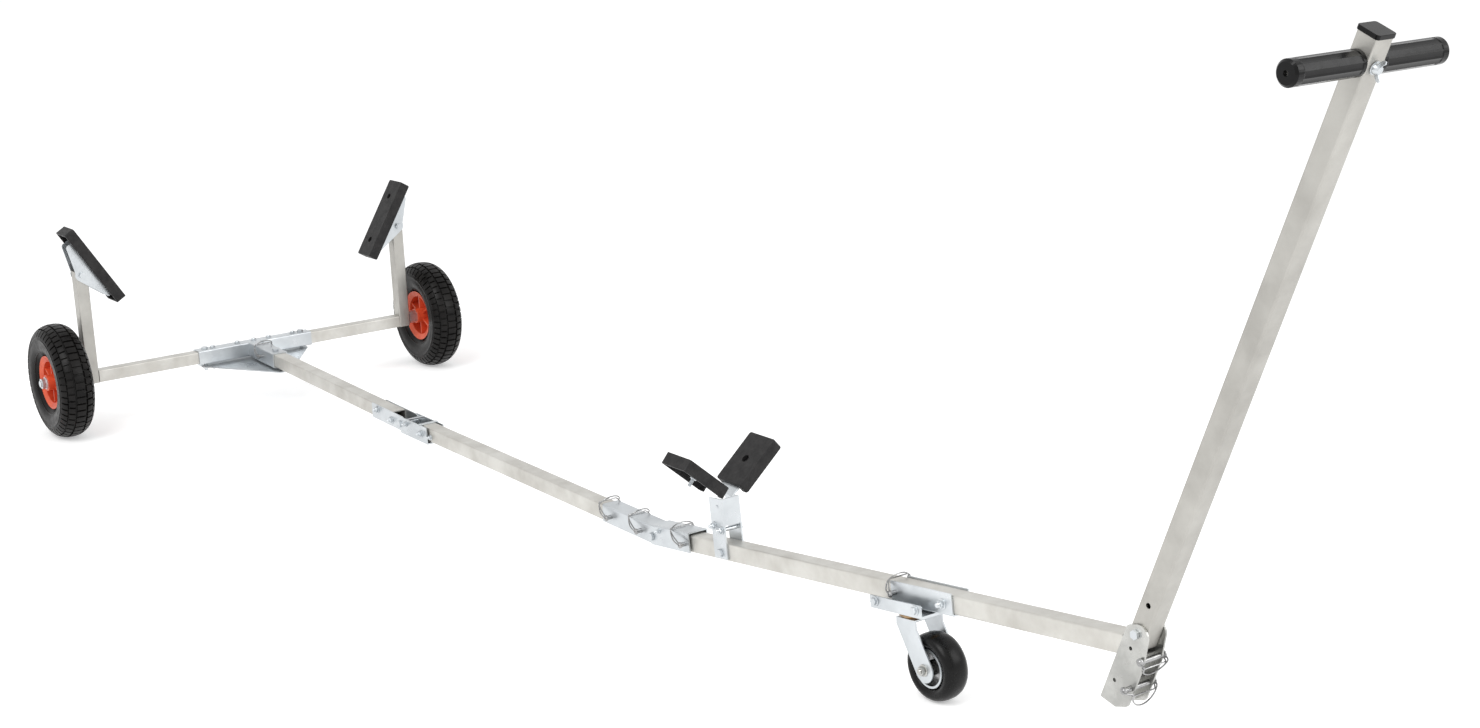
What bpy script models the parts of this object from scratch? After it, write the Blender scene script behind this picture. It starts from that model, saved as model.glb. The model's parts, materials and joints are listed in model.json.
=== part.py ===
"""Boat launching trolley: a folding hand trolley for a small boat.

Two air-filled wheels carry a cross tube with a bunk pad on a post at each end.
A beam of three square tubes runs forward through two folding joints to a keel
support, a swivel castor and a folding pull handle with a cross grip.
+X points forward to the handle, +Y to the left wheel and +Z up.
The origin is on the ground, at the middle of the trolley's length and width.
"""
import math

import bmesh
import bpy
from mathutils import Matrix, Vector

mm = 0.001

# Overall layout, measured from the wheel axle along +X before the origin is set
BEAM_START = (0.0, 126 * mm)
FOLD_A = (790 * mm, 97.7 * mm)
FOLD_B = (1741 * mm, 81.8 * mm)
HANDLE_FOOT = (2882 * mm, 175.7 * mm)
BEAM_END_PITCH = math.radians(6.26)
HANDLE_LEAN = math.radians(23.3)
FRONT_REACH = 3270.476 * mm

# Square tubes and folded plate
BEAM_TUBE = 30 * mm
CROSS_TUBE = 28 * mm
TUBE_WALL = 2 * mm
TUBE_CORNER = 2.5 * mm
PLATE = 2.5 * mm
GAP = 0.3 * mm

# Main wheels
WHEEL_RADIUS = 130 * mm
WHEEL_WIDTH = 81 * mm
WHEEL_STEPS = 48
TRACK_HALF = 467 * mm
RIM_RADIUS = 61 * mm
HUB_HALF = 34 * mm
HUB_RADIUS = 18 * mm
AXLE_RADIUS = 7.5 * mm

# Posts and bunk pads
POST_Y = 397 * mm
POST_BOTTOM = 112 * mm
BUNK_PIVOT_Z = 365 * mm
BUNK_TILT = math.radians(58.6)
BUNK_LENGTH = 198 * mm
BUNK_WIDTH = 63 * mm
PAD_SKIN = 8 * mm
BUNK_THICKNESS = 24 * mm
BUNK_FACE_OFFSET = 46 * mm
SCREW_HOLE_RADIUS = 7 * mm

# Tee joint
TEE_HALF = 143 * mm
STUB_END = 152 * mm
GUSSET_DROP = 21.2 * mm

# Folding joints
FOLD_OVERLAP = 15 * mm
FOLD_A_REAR = 135 * mm
FOLD_A_FRONT = 115 * mm
FOLD_B_REAR = 166 * mm
FOLD_B_FRONT = 115 * mm
BOLT_RADIUS = 4 * mm
RING_STEPS = 12
RING_SQUARENESS = 0.25
RING_CLEARANCE = 2 * mm

# Keel support, positions along the front beam from the second fold
KEEL_AT = 207.5 * mm
KEEL_CENTER_X = 1937 * mm
KEEL_WIDTH = 70 * mm
KEEL_DEPTH = 37 * mm
KEEL_TOP = 92 * mm
KEEL_TILT = math.radians(41)
KEEL_PAD_LENGTH = 100 * mm
KEEL_PAD_THICKNESS = 21.5 * mm
KEEL_VEE_HALF = 22 * mm
KEEL_FACE_Y = 10.5 * mm
KEEL_FACE_Z = 219.5 * mm

# Castor
CASTOR_AT = 699 * mm
CASTOR_RADIUS = 53 * mm
CASTOR_WIDTH = 38 * mm
CASTOR_STEPS = 32
CASTOR_X = 2479 * mm
CASTOR_PLATE_Z = -21.5 * mm
CASTOR_PLATE_THICKNESS = 4 * mm
CASTOR_PLATE_REAR = 68 * mm
CASTOR_PLATE_FRONT = 50 * mm
CASTOR_PLATE_WIDTH = 76 * mm
CASTOR_FLANGE = 17 * mm
LEG_INNER = 22.5 * mm
LEG_THICKNESS = 3 * mm

# Handle, heights along the leaning tube from its foot
HANDLE_PIVOT = 58.6 * mm
HANDLE_TOP = 938 * mm
GRIP_HEIGHT = 903 * mm
GRIP_HALF = 133 * mm
GRIP_RADIUS = 16.3 * mm
GRIP_ROD_RADIUS = 10 * mm

REAR_REACH = WHEEL_RADIUS
ORIGIN_X = (FRONT_REACH - REAR_REACH) / 2


def clear_scene():
    for obj in list(bpy.data.objects):
        bpy.data.objects.remove(obj, do_unlink=True)


def collection(name):
    found = bpy.data.collections.new(name)
    bpy.context.scene.collection.children.link(found)
    return found


clear_scene()
PARTS = collection("boat_launching_trolley")
CUTTERS = collection("cutters")


def make_material(name, color, metallic, roughness):
    made = bpy.data.materials.new(name)
    made.use_nodes = True
    shader = made.node_tree.nodes["Principled BSDF"]
    shader.inputs["Base Color"].default_value = (*color, 1.0)
    shader.inputs["Metallic"].default_value = metallic
    shader.inputs["Roughness"].default_value = roughness
    made.diffuse_color = (*color, 1.0)
    return made


GALVANISED_TUBE = make_material("galvanised_tube", (0.72, 0.71, 0.68), 0.9, 0.42)
ZINC_PLATE = make_material("zinc_plate", (0.74, 0.78, 0.81), 0.95, 0.3)
STEEL_WIRE = make_material("steel_wire", (0.55, 0.56, 0.57), 1.0, 0.25)
TYRE_RUBBER = make_material("tyre_rubber", (0.02, 0.02, 0.02), 0.0, 0.8)
PAD_RUBBER = make_material("pad_rubber", (0.05, 0.05, 0.05), 0.0, 0.7)
RIM_PLASTIC = make_material("rim_plastic", (0.75, 0.1, 0.03), 0.0, 0.45)
GRIP_PLASTIC = make_material("grip_plastic", (0.03, 0.03, 0.03), 0.0, 0.5)
BRASS = make_material("bush_bronze", (0.5, 0.33, 0.15), 1.0, 0.4)


# Frames: each is a matrix whose X runs along the member


def tilted_frame(x, z, pitch, y=0.0):
    """Frame at a point of the layout, with X raised by pitch."""
    return Matrix.Translation((x - ORIGIN_X, y, z)) @ Matrix.Rotation(-pitch, 4, "Y")


def pitch_between(start, end):
    return math.atan2(end[1] - start[1], end[0] - start[0])


REAR_PITCH = pitch_between(BEAM_START, FOLD_A)
MIDDLE_PITCH = pitch_between(FOLD_A, FOLD_B)
REAR_FRAME = tilted_frame(*BEAM_START, REAR_PITCH)
FOLD_A_REAR_FRAME = tilted_frame(*FOLD_A, REAR_PITCH)
MIDDLE_FRAME = tilted_frame(*FOLD_A, MIDDLE_PITCH)
FOLD_B_REAR_FRAME = tilted_frame(*FOLD_B, MIDDLE_PITCH)
FRONT_FRAME = tilted_frame(*FOLD_B, BEAM_END_PITCH)
# The handle frame's Z runs up the handle and its X is the handle's front
HANDLE_FRAME = tilted_frame(*HANDLE_FOOT, -HANDLE_LEAN)


def pivot_empty(name, frame, offset=(0, 0, 0)):
    empty = bpy.data.objects.new(name, None)
    empty.empty_display_size = 0.05
    PARTS.objects.link(empty)
    empty.matrix_world = frame @ Matrix.Translation(offset)
    return empty


BODY = {}


def place(obj, frame, body, material=None):
    """Put a finished solid in the world frame, under the pivot of its body."""
    pivot = BODY[body]
    obj.parent = pivot
    obj.matrix_parent_inverse = pivot.matrix_basis.inverted()
    obj.matrix_basis = frame
    if material is not None:
        obj.data.materials.clear()
        obj.data.materials.append(material)
    return obj


def new_object(name, mesh, target=None):
    obj = bpy.data.objects.new(name, mesh)
    (target or PARTS).objects.link(obj)
    return obj


# Outlines, all in the local XY plane


def arc(center, radius, start, end, count):
    """Points on an arc in degrees, both ends included."""
    points = []
    for index in range(count + 1):
        angle = math.radians(start + (end - start) * index / count)
        points.append((center[0] + radius * math.cos(angle), center[1] + radius * math.sin(angle)))
    return points


def rounded_rectangle(width, height, corner, count=3, center=(0, 0)):
    x = width / 2 - corner
    y = height / 2 - corner
    points = []
    for sign_x, sign_y, start in ((1, 1, 0), (-1, 1, 90), (-1, -1, 180), (1, -1, 270)):
        middle = (center[0] + sign_x * x, center[1] + sign_y * y)
        points += arc(middle, corner, start, start + 90, count)
    return points


def extruded_mesh(name, loops, depth):
    """A flat outline with its holes, extruded along Z about its middle."""
    curve = bpy.data.curves.new(name, "CURVE")
    curve.dimensions = "2D"
    curve.fill_mode = "BOTH"
    curve.extrude = depth / 2
    for loop in loops:
        spline = curve.splines.new("POLY")
        spline.points.add(len(loop) - 1)
        for point, (x, y) in zip(spline.points, loop):
            point.co = (x, y, 0, 1)
        spline.use_cyclic_u = True
    return converted_curve(name, curve)


def converted_curve(name, curve):
    """The mesh of a curve, with its caps welded to its sides."""
    holder = bpy.data.objects.new(name, curve)
    bpy.context.scene.collection.objects.link(holder)
    graph = bpy.context.evaluated_depsgraph_get()
    mesh = bpy.data.meshes.new_from_object(holder.evaluated_get(graph))
    bpy.data.objects.remove(holder)
    work = bmesh.new()
    work.from_mesh(mesh)
    bmesh.ops.remove_doubles(work, verts=work.verts, dist=0.01 * mm)
    bmesh.ops.recalc_face_normals(work, faces=work.faces)
    work.to_mesh(mesh)
    work.free()
    return mesh


# Axis changes for an extruded outline: its own XY plane onto the frame's planes
ALONG_X = Matrix(((0, 0, 1, 0), (1, 0, 0, 0), (0, 1, 0, 0), (0, 0, 0, 1)))
SIDE_VIEW = Matrix(((1, 0, 0, 0), (0, 0, -1, 0), (0, 1, 0, 0), (0, 0, 0, 1)))


def extrude_along_x(name, loops, start, end):
    """Outline in the frame's YZ plane, from x = start to x = end."""
    mesh = extruded_mesh(name, loops, end - start)
    mesh.transform(Matrix.Translation(((start + end) / 2, 0, 0)) @ ALONG_X)
    return mesh


def extrude_sideways(name, loops, y_start, y_end):
    """Outline in the frame's XZ plane, from y = y_start to y = y_end."""
    mesh = extruded_mesh(name, loops, y_end - y_start)
    mesh.transform(Matrix.Translation((0, (y_start + y_end) / 2, 0)) @ SIDE_VIEW)
    return mesh


def box_mesh(name, low, high):
    mesh = bpy.data.meshes.new(name)
    work = bmesh.new()
    bmesh.ops.create_cube(work, size=1.0)
    size = Vector(high) - Vector(low)
    bmesh.ops.scale(work, vec=size, verts=work.verts)
    bmesh.ops.translate(work, vec=(Vector(high) + Vector(low)) / 2, verts=work.verts)
    work.to_mesh(mesh)
    work.free()
    return mesh


def joined_mesh(name, meshes):
    work = bmesh.new()
    for mesh in meshes:
        work.from_mesh(mesh)
    joined = bpy.data.meshes.new(name)
    work.to_mesh(joined)
    work.free()
    return joined


def boolean(obj, operation, meshes, frame):
    """Cut, join or trim a placed object with meshes given in a frame."""
    for index, mesh in enumerate(meshes):
        tool = new_object(f"{obj.name}_{operation.lower()}_{len(obj.modifiers)}", mesh, CUTTERS)
        tool.matrix_basis = frame
        tool.hide_render = True
        tool.display_type = "WIRE"
        modifier = obj.modifiers.new(f"{operation.lower()}_{index}", "BOOLEAN")
        modifier.operation = operation
        modifier.solver = "EXACT"
        modifier.object = tool
    return obj


def cut(obj, meshes, frame):
    return boolean(obj, "DIFFERENCE", meshes, frame)


def unite(obj, meshes, frame):
    return boolean(obj, "UNION", meshes, frame)


def trim(obj, mesh, frame):
    return boolean(obj, "INTERSECT", [mesh], frame)


def cylinder_mesh(name, start, end, radius, sides=16):
    """A closed cylinder between two points."""
    start = Vector(start)
    end = Vector(end)
    mesh = bpy.data.meshes.new(name)
    work = bmesh.new()
    bmesh.ops.create_cone(
        work, cap_ends=True, segments=sides, radius1=radius, radius2=radius, depth=(end - start).length
    )
    turn = Vector((0, 0, 1)).rotation_difference(end - start).to_matrix().to_4x4()
    bmesh.ops.transform(work, matrix=Matrix.Translation((start + end) / 2) @ turn, verts=work.verts)
    work.to_mesh(mesh)
    work.free()
    return mesh


def cross_holes(name, places, radius, half=40 * mm, sides=12):
    """Round holes across the beam, one for each (x, z) of the frame."""
    drills = []
    for x, z in places:
        drills.append(cylinder_mesh(name, (x, -half, z), (x, half, z), radius, sides))
    return joined_mesh(name, drills)


def square_tube(name, size, start, end, frame, body, material=GALVANISED_TUBE):
    outer = rounded_rectangle(size, size, TUBE_CORNER)
    inner = rounded_rectangle(size - 2 * TUBE_WALL, size - 2 * TUBE_WALL, TUBE_CORNER / 3, 1)
    tube = new_object(name, extrude_along_x(name, [outer, inner], start, end))
    return place(tube, frame, body, material)


def channel_outline(inner_half, wall, floor, rim):
    """U section in YZ: the floor is below for floor < rim, else above."""
    outer_half = inner_half + wall
    side = 1 if rim > floor else -1
    bottom = floor - side * wall
    bend = 2 * mm
    points = [(inner_half, rim), (outer_half, rim)]
    if side > 0:
        points += arc((outer_half - bend, bottom + bend), bend, 0, -90, 2)
        points += arc((-outer_half + bend, bottom + bend), bend, -90, -180, 2)
    else:
        points += arc((outer_half - bend, bottom - bend), bend, 0, 90, 2)
        points += arc((-outer_half + bend, bottom - bend), bend, 90, 180, 2)
    points += [(-outer_half, rim), (-inner_half, rim), (-inner_half, floor), (inner_half, floor)]
    return points


# Lofts between unlike sections: rings of equal count, capped or closed on themselves


def round_ring(radius, count):
    return [(radius * math.cos(a), radius * math.sin(a)) for a in ring_angles(count)]


def ring_angles(count):
    return [2 * math.pi * index / count for index in range(count)]


def polygon_ring(across_corners, corners, count, phase=0.0):
    """Points along a regular polygon, spaced evenly in angle."""
    flat = across_corners * math.cos(math.pi / corners)
    points = []
    for angle in ring_angles(count):
        within = (angle - phase) % (2 * math.pi / corners) - math.pi / corners
        radius = flat / math.cos(within)
        points.append((radius * math.cos(angle), radius * math.sin(angle)))
    return points


def lofted_mesh(name, rings, closed=False):
    """Rings are (height, points); the loft runs along local Z."""
    mesh = bpy.data.meshes.new(name)
    work = bmesh.new()
    rows = []
    for height, points in rings:
        rows.append([work.verts.new((x, y, height)) for x, y in points])
    pairs = list(zip(rows, rows[1:]))
    if closed:
        pairs.append((rows[-1], rows[0]))
    count = len(rows[0])
    for lower, upper in pairs:
        for index in range(count):
            following = (index + 1) % count
            work.faces.new((lower[index], lower[following], upper[following], upper[index]))
    if not closed:
        work.faces.new(list(reversed(rows[0])))
        work.faces.new(rows[-1])
    bmesh.ops.recalc_face_normals(work, faces=work.faces)
    work.to_mesh(mesh)
    work.free()
    return mesh


def hex_bolt_mesh(name, grip_start, grip_end, radius, head, nut=True, tip=3 * mm):
    """Bolt along +Z: head below grip_start, nut and tip above grip_end."""
    count = 12
    shank = round_ring(radius, count)
    hexagon = polygon_ring(head, 6, count)
    head_height = head * 0.62
    rings = [(grip_start - head_height, hexagon), (grip_start, hexagon), (grip_start, shank)]
    if nut:
        nut_height = head * 0.75
        rings += [(grip_end, shank), (grip_end, hexagon)]
        rings += [(grip_end + nut_height, hexagon), (grip_end + nut_height, shank)]
        rings += [(grip_end + nut_height + tip, shank)]
    else:
        rings += [(grip_end, shank)]
    return lofted_mesh(name, rings)


TOWARDS_Y = Matrix.Rotation(math.radians(-90), 4, "X")


def cross_bolt(name, x, z, half_grip, frame, body, radius=BOLT_RADIUS, head=7.2 * mm, nut=True):
    """A bolt across the beam, head on the right side and nut on the left."""
    mesh = hex_bolt_mesh(name, -half_grip, half_grip, radius, head, nut)
    mesh.transform(Matrix.Translation((x, 0, z)) @ TOWARDS_Y)
    return place(new_object(name, mesh), frame, body, ZINC_PLATE)


def wire_mesh(name, points, radius, closed=True):
    curve = bpy.data.curves.new(name, "CURVE")
    curve.dimensions = "3D"
    curve.bevel_depth = radius
    curve.bevel_resolution = 1
    curve.use_fill_caps = True
    spline = curve.splines.new("POLY")
    spline.points.add(len(points) - 1)
    for point, place_at in zip(spline.points, points):
        point.co = (*place_at, 1)
    spline.use_cyclic_u = closed
    return converted_curve(name, curve)


def ring_pin(name, x, z, half_width, top, frame, body, pin_radius=3.8 * mm, bulge=10 * mm):
    """Quick-release pin across a tube, with its spring wire looped over the top.

    The wire has two strands that cross over the tube from the pin's head to its
    tip, and bulge apart along the beam.
    """
    wire_radius = 1.4 * mm
    reach = half_width + 4.2 * mm
    pin = cylinder_mesh(name, (0, -reach - 2 * mm, 0), (0, reach + 2 * mm, 0), pin_radius, 12)
    strands = []
    for side in (1, -1):
        points = []
        for index in range(RING_STEPS + 1):
            angle = math.pi * index / RING_STEPS
            cosine = math.cos(angle)
            sine = max(math.sin(angle), 0.0)
            across = reach * math.copysign(abs(cosine) ** RING_SQUARENESS, cosine)
            height = (top + wire_radius + RING_CLEARANCE) * sine**RING_SQUARENESS
            points.append((side * (1.8 * mm + bulge * sine * sine), across, height))
        strands.append(wire_mesh(name + "_wire", points, wire_radius, closed=False))
    obj = new_object(name, pin)
    local = frame @ Matrix.Translation((x, 0, z))
    place(obj, local, body, STEEL_WIRE)
    unite(obj, [joined_mesh(name + "_strands", strands)], local)
    return obj


# Turned shapes


def turned(name, profile, steps, frame, body, material, half_step=False):
    """Profile of (radius, height) turned about the frame's Z with a Screw."""
    mesh = bpy.data.meshes.new(name)
    points = [(radius, 0, height) for radius, height in profile]
    count = len(points)
    edges = [(index, (index + 1) % count) for index in range(count)]
    mesh.from_pydata(points, edges, [])
    obj = new_object(name, mesh)
    screw = obj.modifiers.new("turn", "SCREW")
    screw.axis = "Z"
    screw.steps = steps
    screw.render_steps = steps
    screw.use_merge_vertices = True
    screw.merge_threshold = 0.01 * mm
    screw.use_smooth_shade = True
    turn = Matrix.Rotation(math.pi / steps, 4, "Z") if half_step else Matrix.Identity(4)
    return place(obj, frame @ turn, body, material)


def facet_radius(radius, steps):
    """Corner radius of a turned tread whose flats stand at the true radius."""
    return radius / math.cos(math.pi / steps)


# Turned pieces stand on a frame whose Z runs along the axle, outwards


def axle_frame(x, y, z, side):
    return Matrix.Translation((x, y, z)) @ Matrix.Rotation(math.radians(-90 * side), 4, "X")


def build_wheel(side, tag):
    body = f"wheel_{tag}"
    frame = axle_frame(-ORIGIN_X, side * TRACK_HALF, WHEEL_RADIUS, side)
    BODY[body] = pivot_empty(f"{body}_pivot", Matrix.Translation((-ORIGIN_X, side * TRACK_HALF, WHEEL_RADIUS)))
    tread = facet_radius(WHEEL_RADIUS, WHEEL_STEPS)
    half = WHEEL_WIDTH / 2
    bead = RIM_RADIUS - 4 * mm
    outer = [
        (RIM_RADIUS + 1 * mm, 26 * mm),
        (RIM_RADIUS + 14 * mm, half - 4 * mm),
        (RIM_RADIUS + 30 * mm, half),
        (tread - 24 * mm, half - 1 * mm),
        (tread - 11 * mm, half - 7 * mm),
        (tread - 3.5 * mm, half - 15 * mm),
        (tread, half - 26 * mm),
    ]
    inner = [
        (bead - 4 * mm, -20 * mm),
        (bead - 4 * mm, 20 * mm),
    ]
    profile = outer + [(radius, -height) for radius, height in reversed(outer)] + inner
    turned(f"tyre_{tag}", profile, WHEEL_STEPS, frame, body, TYRE_RUBBER, half_step=True)

    barrel = bead - 4 * mm - GAP
    rim = [
        (HUB_RADIUS, HUB_HALF),
        (HUB_RADIUS, 4 * mm),
        (barrel - 5 * mm, 2.5 * mm),
        (barrel - 5 * mm, 23 * mm),
        (RIM_RADIUS - 3 * mm, 28 * mm),
        (RIM_RADIUS, 28 * mm),
        (RIM_RADIUS, 26 * mm + 1 * mm),
        (bead - 4 * mm, 21 * mm),
        (barrel, 20 * mm),
    ]
    bore = AXLE_RADIUS + 2.8 * mm
    profile = rim_profile(rim, bore)
    obj = turned(f"rim_{tag}", profile, 40, frame, body, RIM_PLASTIC)
    ribs = []
    rib_count = 6
    for index in range(rib_count):
        web = box_mesh("rib", (HUB_RADIUS - 2 * mm, -1.8 * mm, -20 * mm), (barrel - 3 * mm, 1.8 * mm, 20 * mm))
        web.transform(Matrix.Rotation(2 * math.pi * (index + 0.5) / rib_count, 4, "Z"))
        ribs.append(web)
    unite(obj, [joined_mesh("ribs", ribs)], frame)

    bush = [
        (bore - GAP, HUB_HALF - 1 * mm),
        (bore - GAP, -HUB_HALF + 1 * mm),
        (AXLE_RADIUS + GAP, -HUB_HALF + 1 * mm),
        (AXLE_RADIUS + GAP, HUB_HALF - 1 * mm),
    ]
    turned(f"hub_bush_{tag}", bush, 24, frame, body, BRASS)


def rim_profile(upper, bore):
    """The whole rim section: the given upper half, its mirror, and the bore."""
    lower = [(radius, -height) for radius, height in upper]
    section = [(HUB_RADIUS, HUB_HALF), (HUB_RADIUS, 4 * mm)]
    section += upper[2:]
    section += list(reversed(lower[2:]))
    section += [(HUB_RADIUS, -4 * mm), (HUB_RADIUS, -HUB_HALF)]
    section += [(bore, -HUB_HALF), (bore, HUB_HALF)]
    return section


def build_rear_frame():
    BODY["root"] = pivot_empty("rear_frame", Matrix.Translation((-ORIGIN_X, 0, 0)))
    cross_frame = Matrix.Translation((-ORIGIN_X, 0, BEAM_START[1])) @ Matrix.Rotation(math.radians(90), 4, "Z")
    cross_half = POST_Y - CROSS_TUBE / 2 - GAP
    cross_tube = square_tube("cross_tube", CROSS_TUBE, -cross_half, cross_half, cross_frame, "root")

    sleeve_inner = CROSS_TUBE + 2 * GAP
    sleeve_outer = sleeve_inner + 2 * PLATE
    loops = [rounded_rectangle(sleeve_outer, sleeve_outer, 3 * mm), rounded_rectangle(sleeve_inner, sleeve_inner, 1 * mm, 1)]
    tee = new_object("tee_sleeve", extrude_along_x("tee_sleeve", loops, -TEE_HALF, TEE_HALF))
    place(tee, cross_frame, "root", ZINC_PLATE)
    stub_inner = BEAM_TUBE + 2 * GAP
    stub_outer = stub_inner + 2 * PLATE
    loops = [rounded_rectangle(stub_outer, stub_outer, 3 * mm), rounded_rectangle(stub_inner, stub_inner, 1 * mm, 1)]
    stub_start = sleeve_outer / 2 - 1 * mm
    unite(tee, [extrude_along_x("stub", loops, stub_start, STUB_END)], REAR_FRAME)

    half = TEE_HALF - 8 * mm
    front = STUB_END + 26 * mm
    outline = [(-15 * mm, half), (-15 * mm, -half), (9 * mm, -half), (front, -14 * mm), (front, 14 * mm), (9 * mm, half)]
    plate = extruded_mesh("gusset_plate", [outline], PLATE)
    plate.transform(Matrix.Translation((0, 0, -GUSSET_DROP - PLATE / 2)))
    gusset = place(new_object("gusset_plate", plate), REAR_FRAME, "root", ZINC_PLATE)

    bolts = {"left": (0, 122 * mm), "right": (0, -122 * mm), "front": (128 * mm, 0)}
    for tag, (x, y) in bolts.items():
        top = (stub_outer if tag == "front" else sleeve_outer) / 2 + GAP
        mesh = hex_bolt_mesh(f"tee_bolt_{tag}", -top, GUSSET_DROP + PLATE + GAP, BOLT_RADIUS, 7.5 * mm, tip=5 * mm)
        mesh.transform(Matrix.Translation((x, y, 0)) @ Matrix.Rotation(math.pi, 4, "X"))
        place(new_object(f"tee_bolt_{tag}", mesh), REAR_FRAME, "root", ZINC_PLATE)
    drill = []
    for x, y in bolts.values():
        drill.append(cylinder_mesh("drill", (x, y, -40 * mm), (x, y, 40 * mm), BOLT_RADIUS + GAP, 12))
    for obj in (tee, gusset, cross_tube):
        cut(obj, [joined_mesh("tee_drill", drill)], REAR_FRAME)

    beam_end = (Vector((FOLD_A[0] - BEAM_START[0], 0, FOLD_A[1] - BEAM_START[1]))).length - 42 * mm
    beam = square_tube("beam_rear", BEAM_TUBE, sleeve_outer / 2 + 3 * mm, beam_end, REAR_FRAME, "root")
    cut(beam, [joined_mesh("tee_drill", drill)], REAR_FRAME)
    pin_at = 92 * mm
    for obj in (tee, beam):
        cut(obj, [cross_holes("tee_pin_holes", [(pin_at, 0)], 4.2 * mm)], REAR_FRAME)
    ring_pin("tee_ring_pin", pin_at, 0, stub_outer / 2, stub_outer / 2, REAR_FRAME, "root")


def build_post(side, tag):
    """Post with its stub axle; the bunk bracket is pinned to the post's top."""
    post_top = BUNK_PIVOT_Z + 8 * mm
    upright = Matrix.Translation((-ORIGIN_X, side * POST_Y, 0)) @ Matrix.Rotation(math.radians(-90), 4, "Y")
    post = square_tube(f"post_{tag}", CROSS_TUBE, POST_BOTTOM, post_top, upright, "root")
    world = Matrix.Translation((-ORIGIN_X, side * POST_Y, 0))
    cut(post, [cross_holes("axle_hole", [(0, WHEEL_RADIUS)], AXLE_RADIUS + GAP)], world)
    across = cylinder_mesh("bunk_hole", (-40 * mm, 0, BUNK_PIVOT_Z), (40 * mm, 0, BUNK_PIVOT_Z), BOLT_RADIUS + GAP, 12)
    cut(post, [across], world)

    face = POST_Y + CROSS_TUBE / 2 + GAP
    hub_in = TRACK_HALF - HUB_HALF - GAP
    hub_out = TRACK_HALF + HUB_HALF + GAP
    count = 12
    shank = round_ring(AXLE_RADIUS, count)
    block = polygon_ring(CROSS_TUBE / 2 * math.sqrt(2), 4, count, math.pi / 4)
    washer = round_ring(AXLE_RADIUS * 1.9, count)
    rings = [(372 * mm, shank), (face, shank), (face, block), (hub_in - 5 * mm, block)]
    rings += [(hub_in - 5 * mm, washer), (hub_in, washer), (hub_in, shank), (hub_out + 14 * mm, shank)]
    frame = axle_frame(-ORIGIN_X, 0, WHEEL_RADIUS, side)
    axle = new_object(f"stub_axle_{tag}", lofted_mesh(f"stub_axle_{tag}", rings))
    place(axle, frame, "root", ZINC_PLATE)

    bore = round_ring(AXLE_RADIUS + GAP / 2, count)
    hexagon = polygon_ring(12.5 * mm, 6, count)
    flange = round_ring(14 * mm, count)
    rings = [(hub_out, bore), (hub_out, flange), (hub_out + 2 * mm, flange), (hub_out + 2 * mm, hexagon)]
    rings += [(hub_out + 11 * mm, hexagon), (hub_out + 11 * mm, bore)]
    nut = new_object(f"axle_nut_{tag}", lofted_mesh(f"axle_nut_{tag}", rings, closed=True))
    place(nut, frame, "root", ZINC_PLATE)


def pad_mesh(name, length, width, thickness, holes):
    """Moulded rubber pad: hollow back, face at z = 0, long side on X."""
    wall = 5 * mm
    outer = rounded_rectangle(length, width, 4 * mm, 2)
    body = extruded_mesh(name, [outer], thickness)
    body.transform(Matrix.Translation((0, 0, -thickness / 2)))
    hollow = box_mesh(
        name + "_hollow",
        (-length / 2 + wall, -width / 2 + wall, -thickness - 5 * mm),
        (length / 2 - wall, width / 2 - wall, -PAD_SKIN),
    )
    drills = []
    for x in holes:
        drills.append(cylinder_mesh(name + "_drill", (x, 0, -15 * mm), (x, 0, 5 * mm), SCREW_HOLE_RADIUS, 16))
    return body, hollow, joined_mesh(name + "_drills", drills)


def bevel(obj, width, segments=2, angle=40):
    modifier = obj.modifiers.new("edge", "BEVEL")
    modifier.width = width
    modifier.segments = segments
    modifier.limit_method = "ANGLE"
    modifier.angle_limit = math.radians(angle)
    return obj


def make_pad(name, length, width, thickness, holes, frame, body):
    solid, hollow, drills = pad_mesh(name, length, width, thickness, holes)
    pad = place(new_object(name, solid), frame, body, PAD_RUBBER)
    bevel(pad, 1.6 * mm, 2)
    cut(pad, [hollow, drills], frame)
    return pad


def open_pad_end(pad, length, half_width, frame):
    """Open the pad's hollow through the wall at its -X end."""
    low = (-length / 2 - 5 * mm, -half_width, -length)
    high = (-length / 2 + 6 * mm, half_width, -PAD_SKIN)
    cut(pad, [box_mesh("open_end", low, high)], frame)


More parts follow.
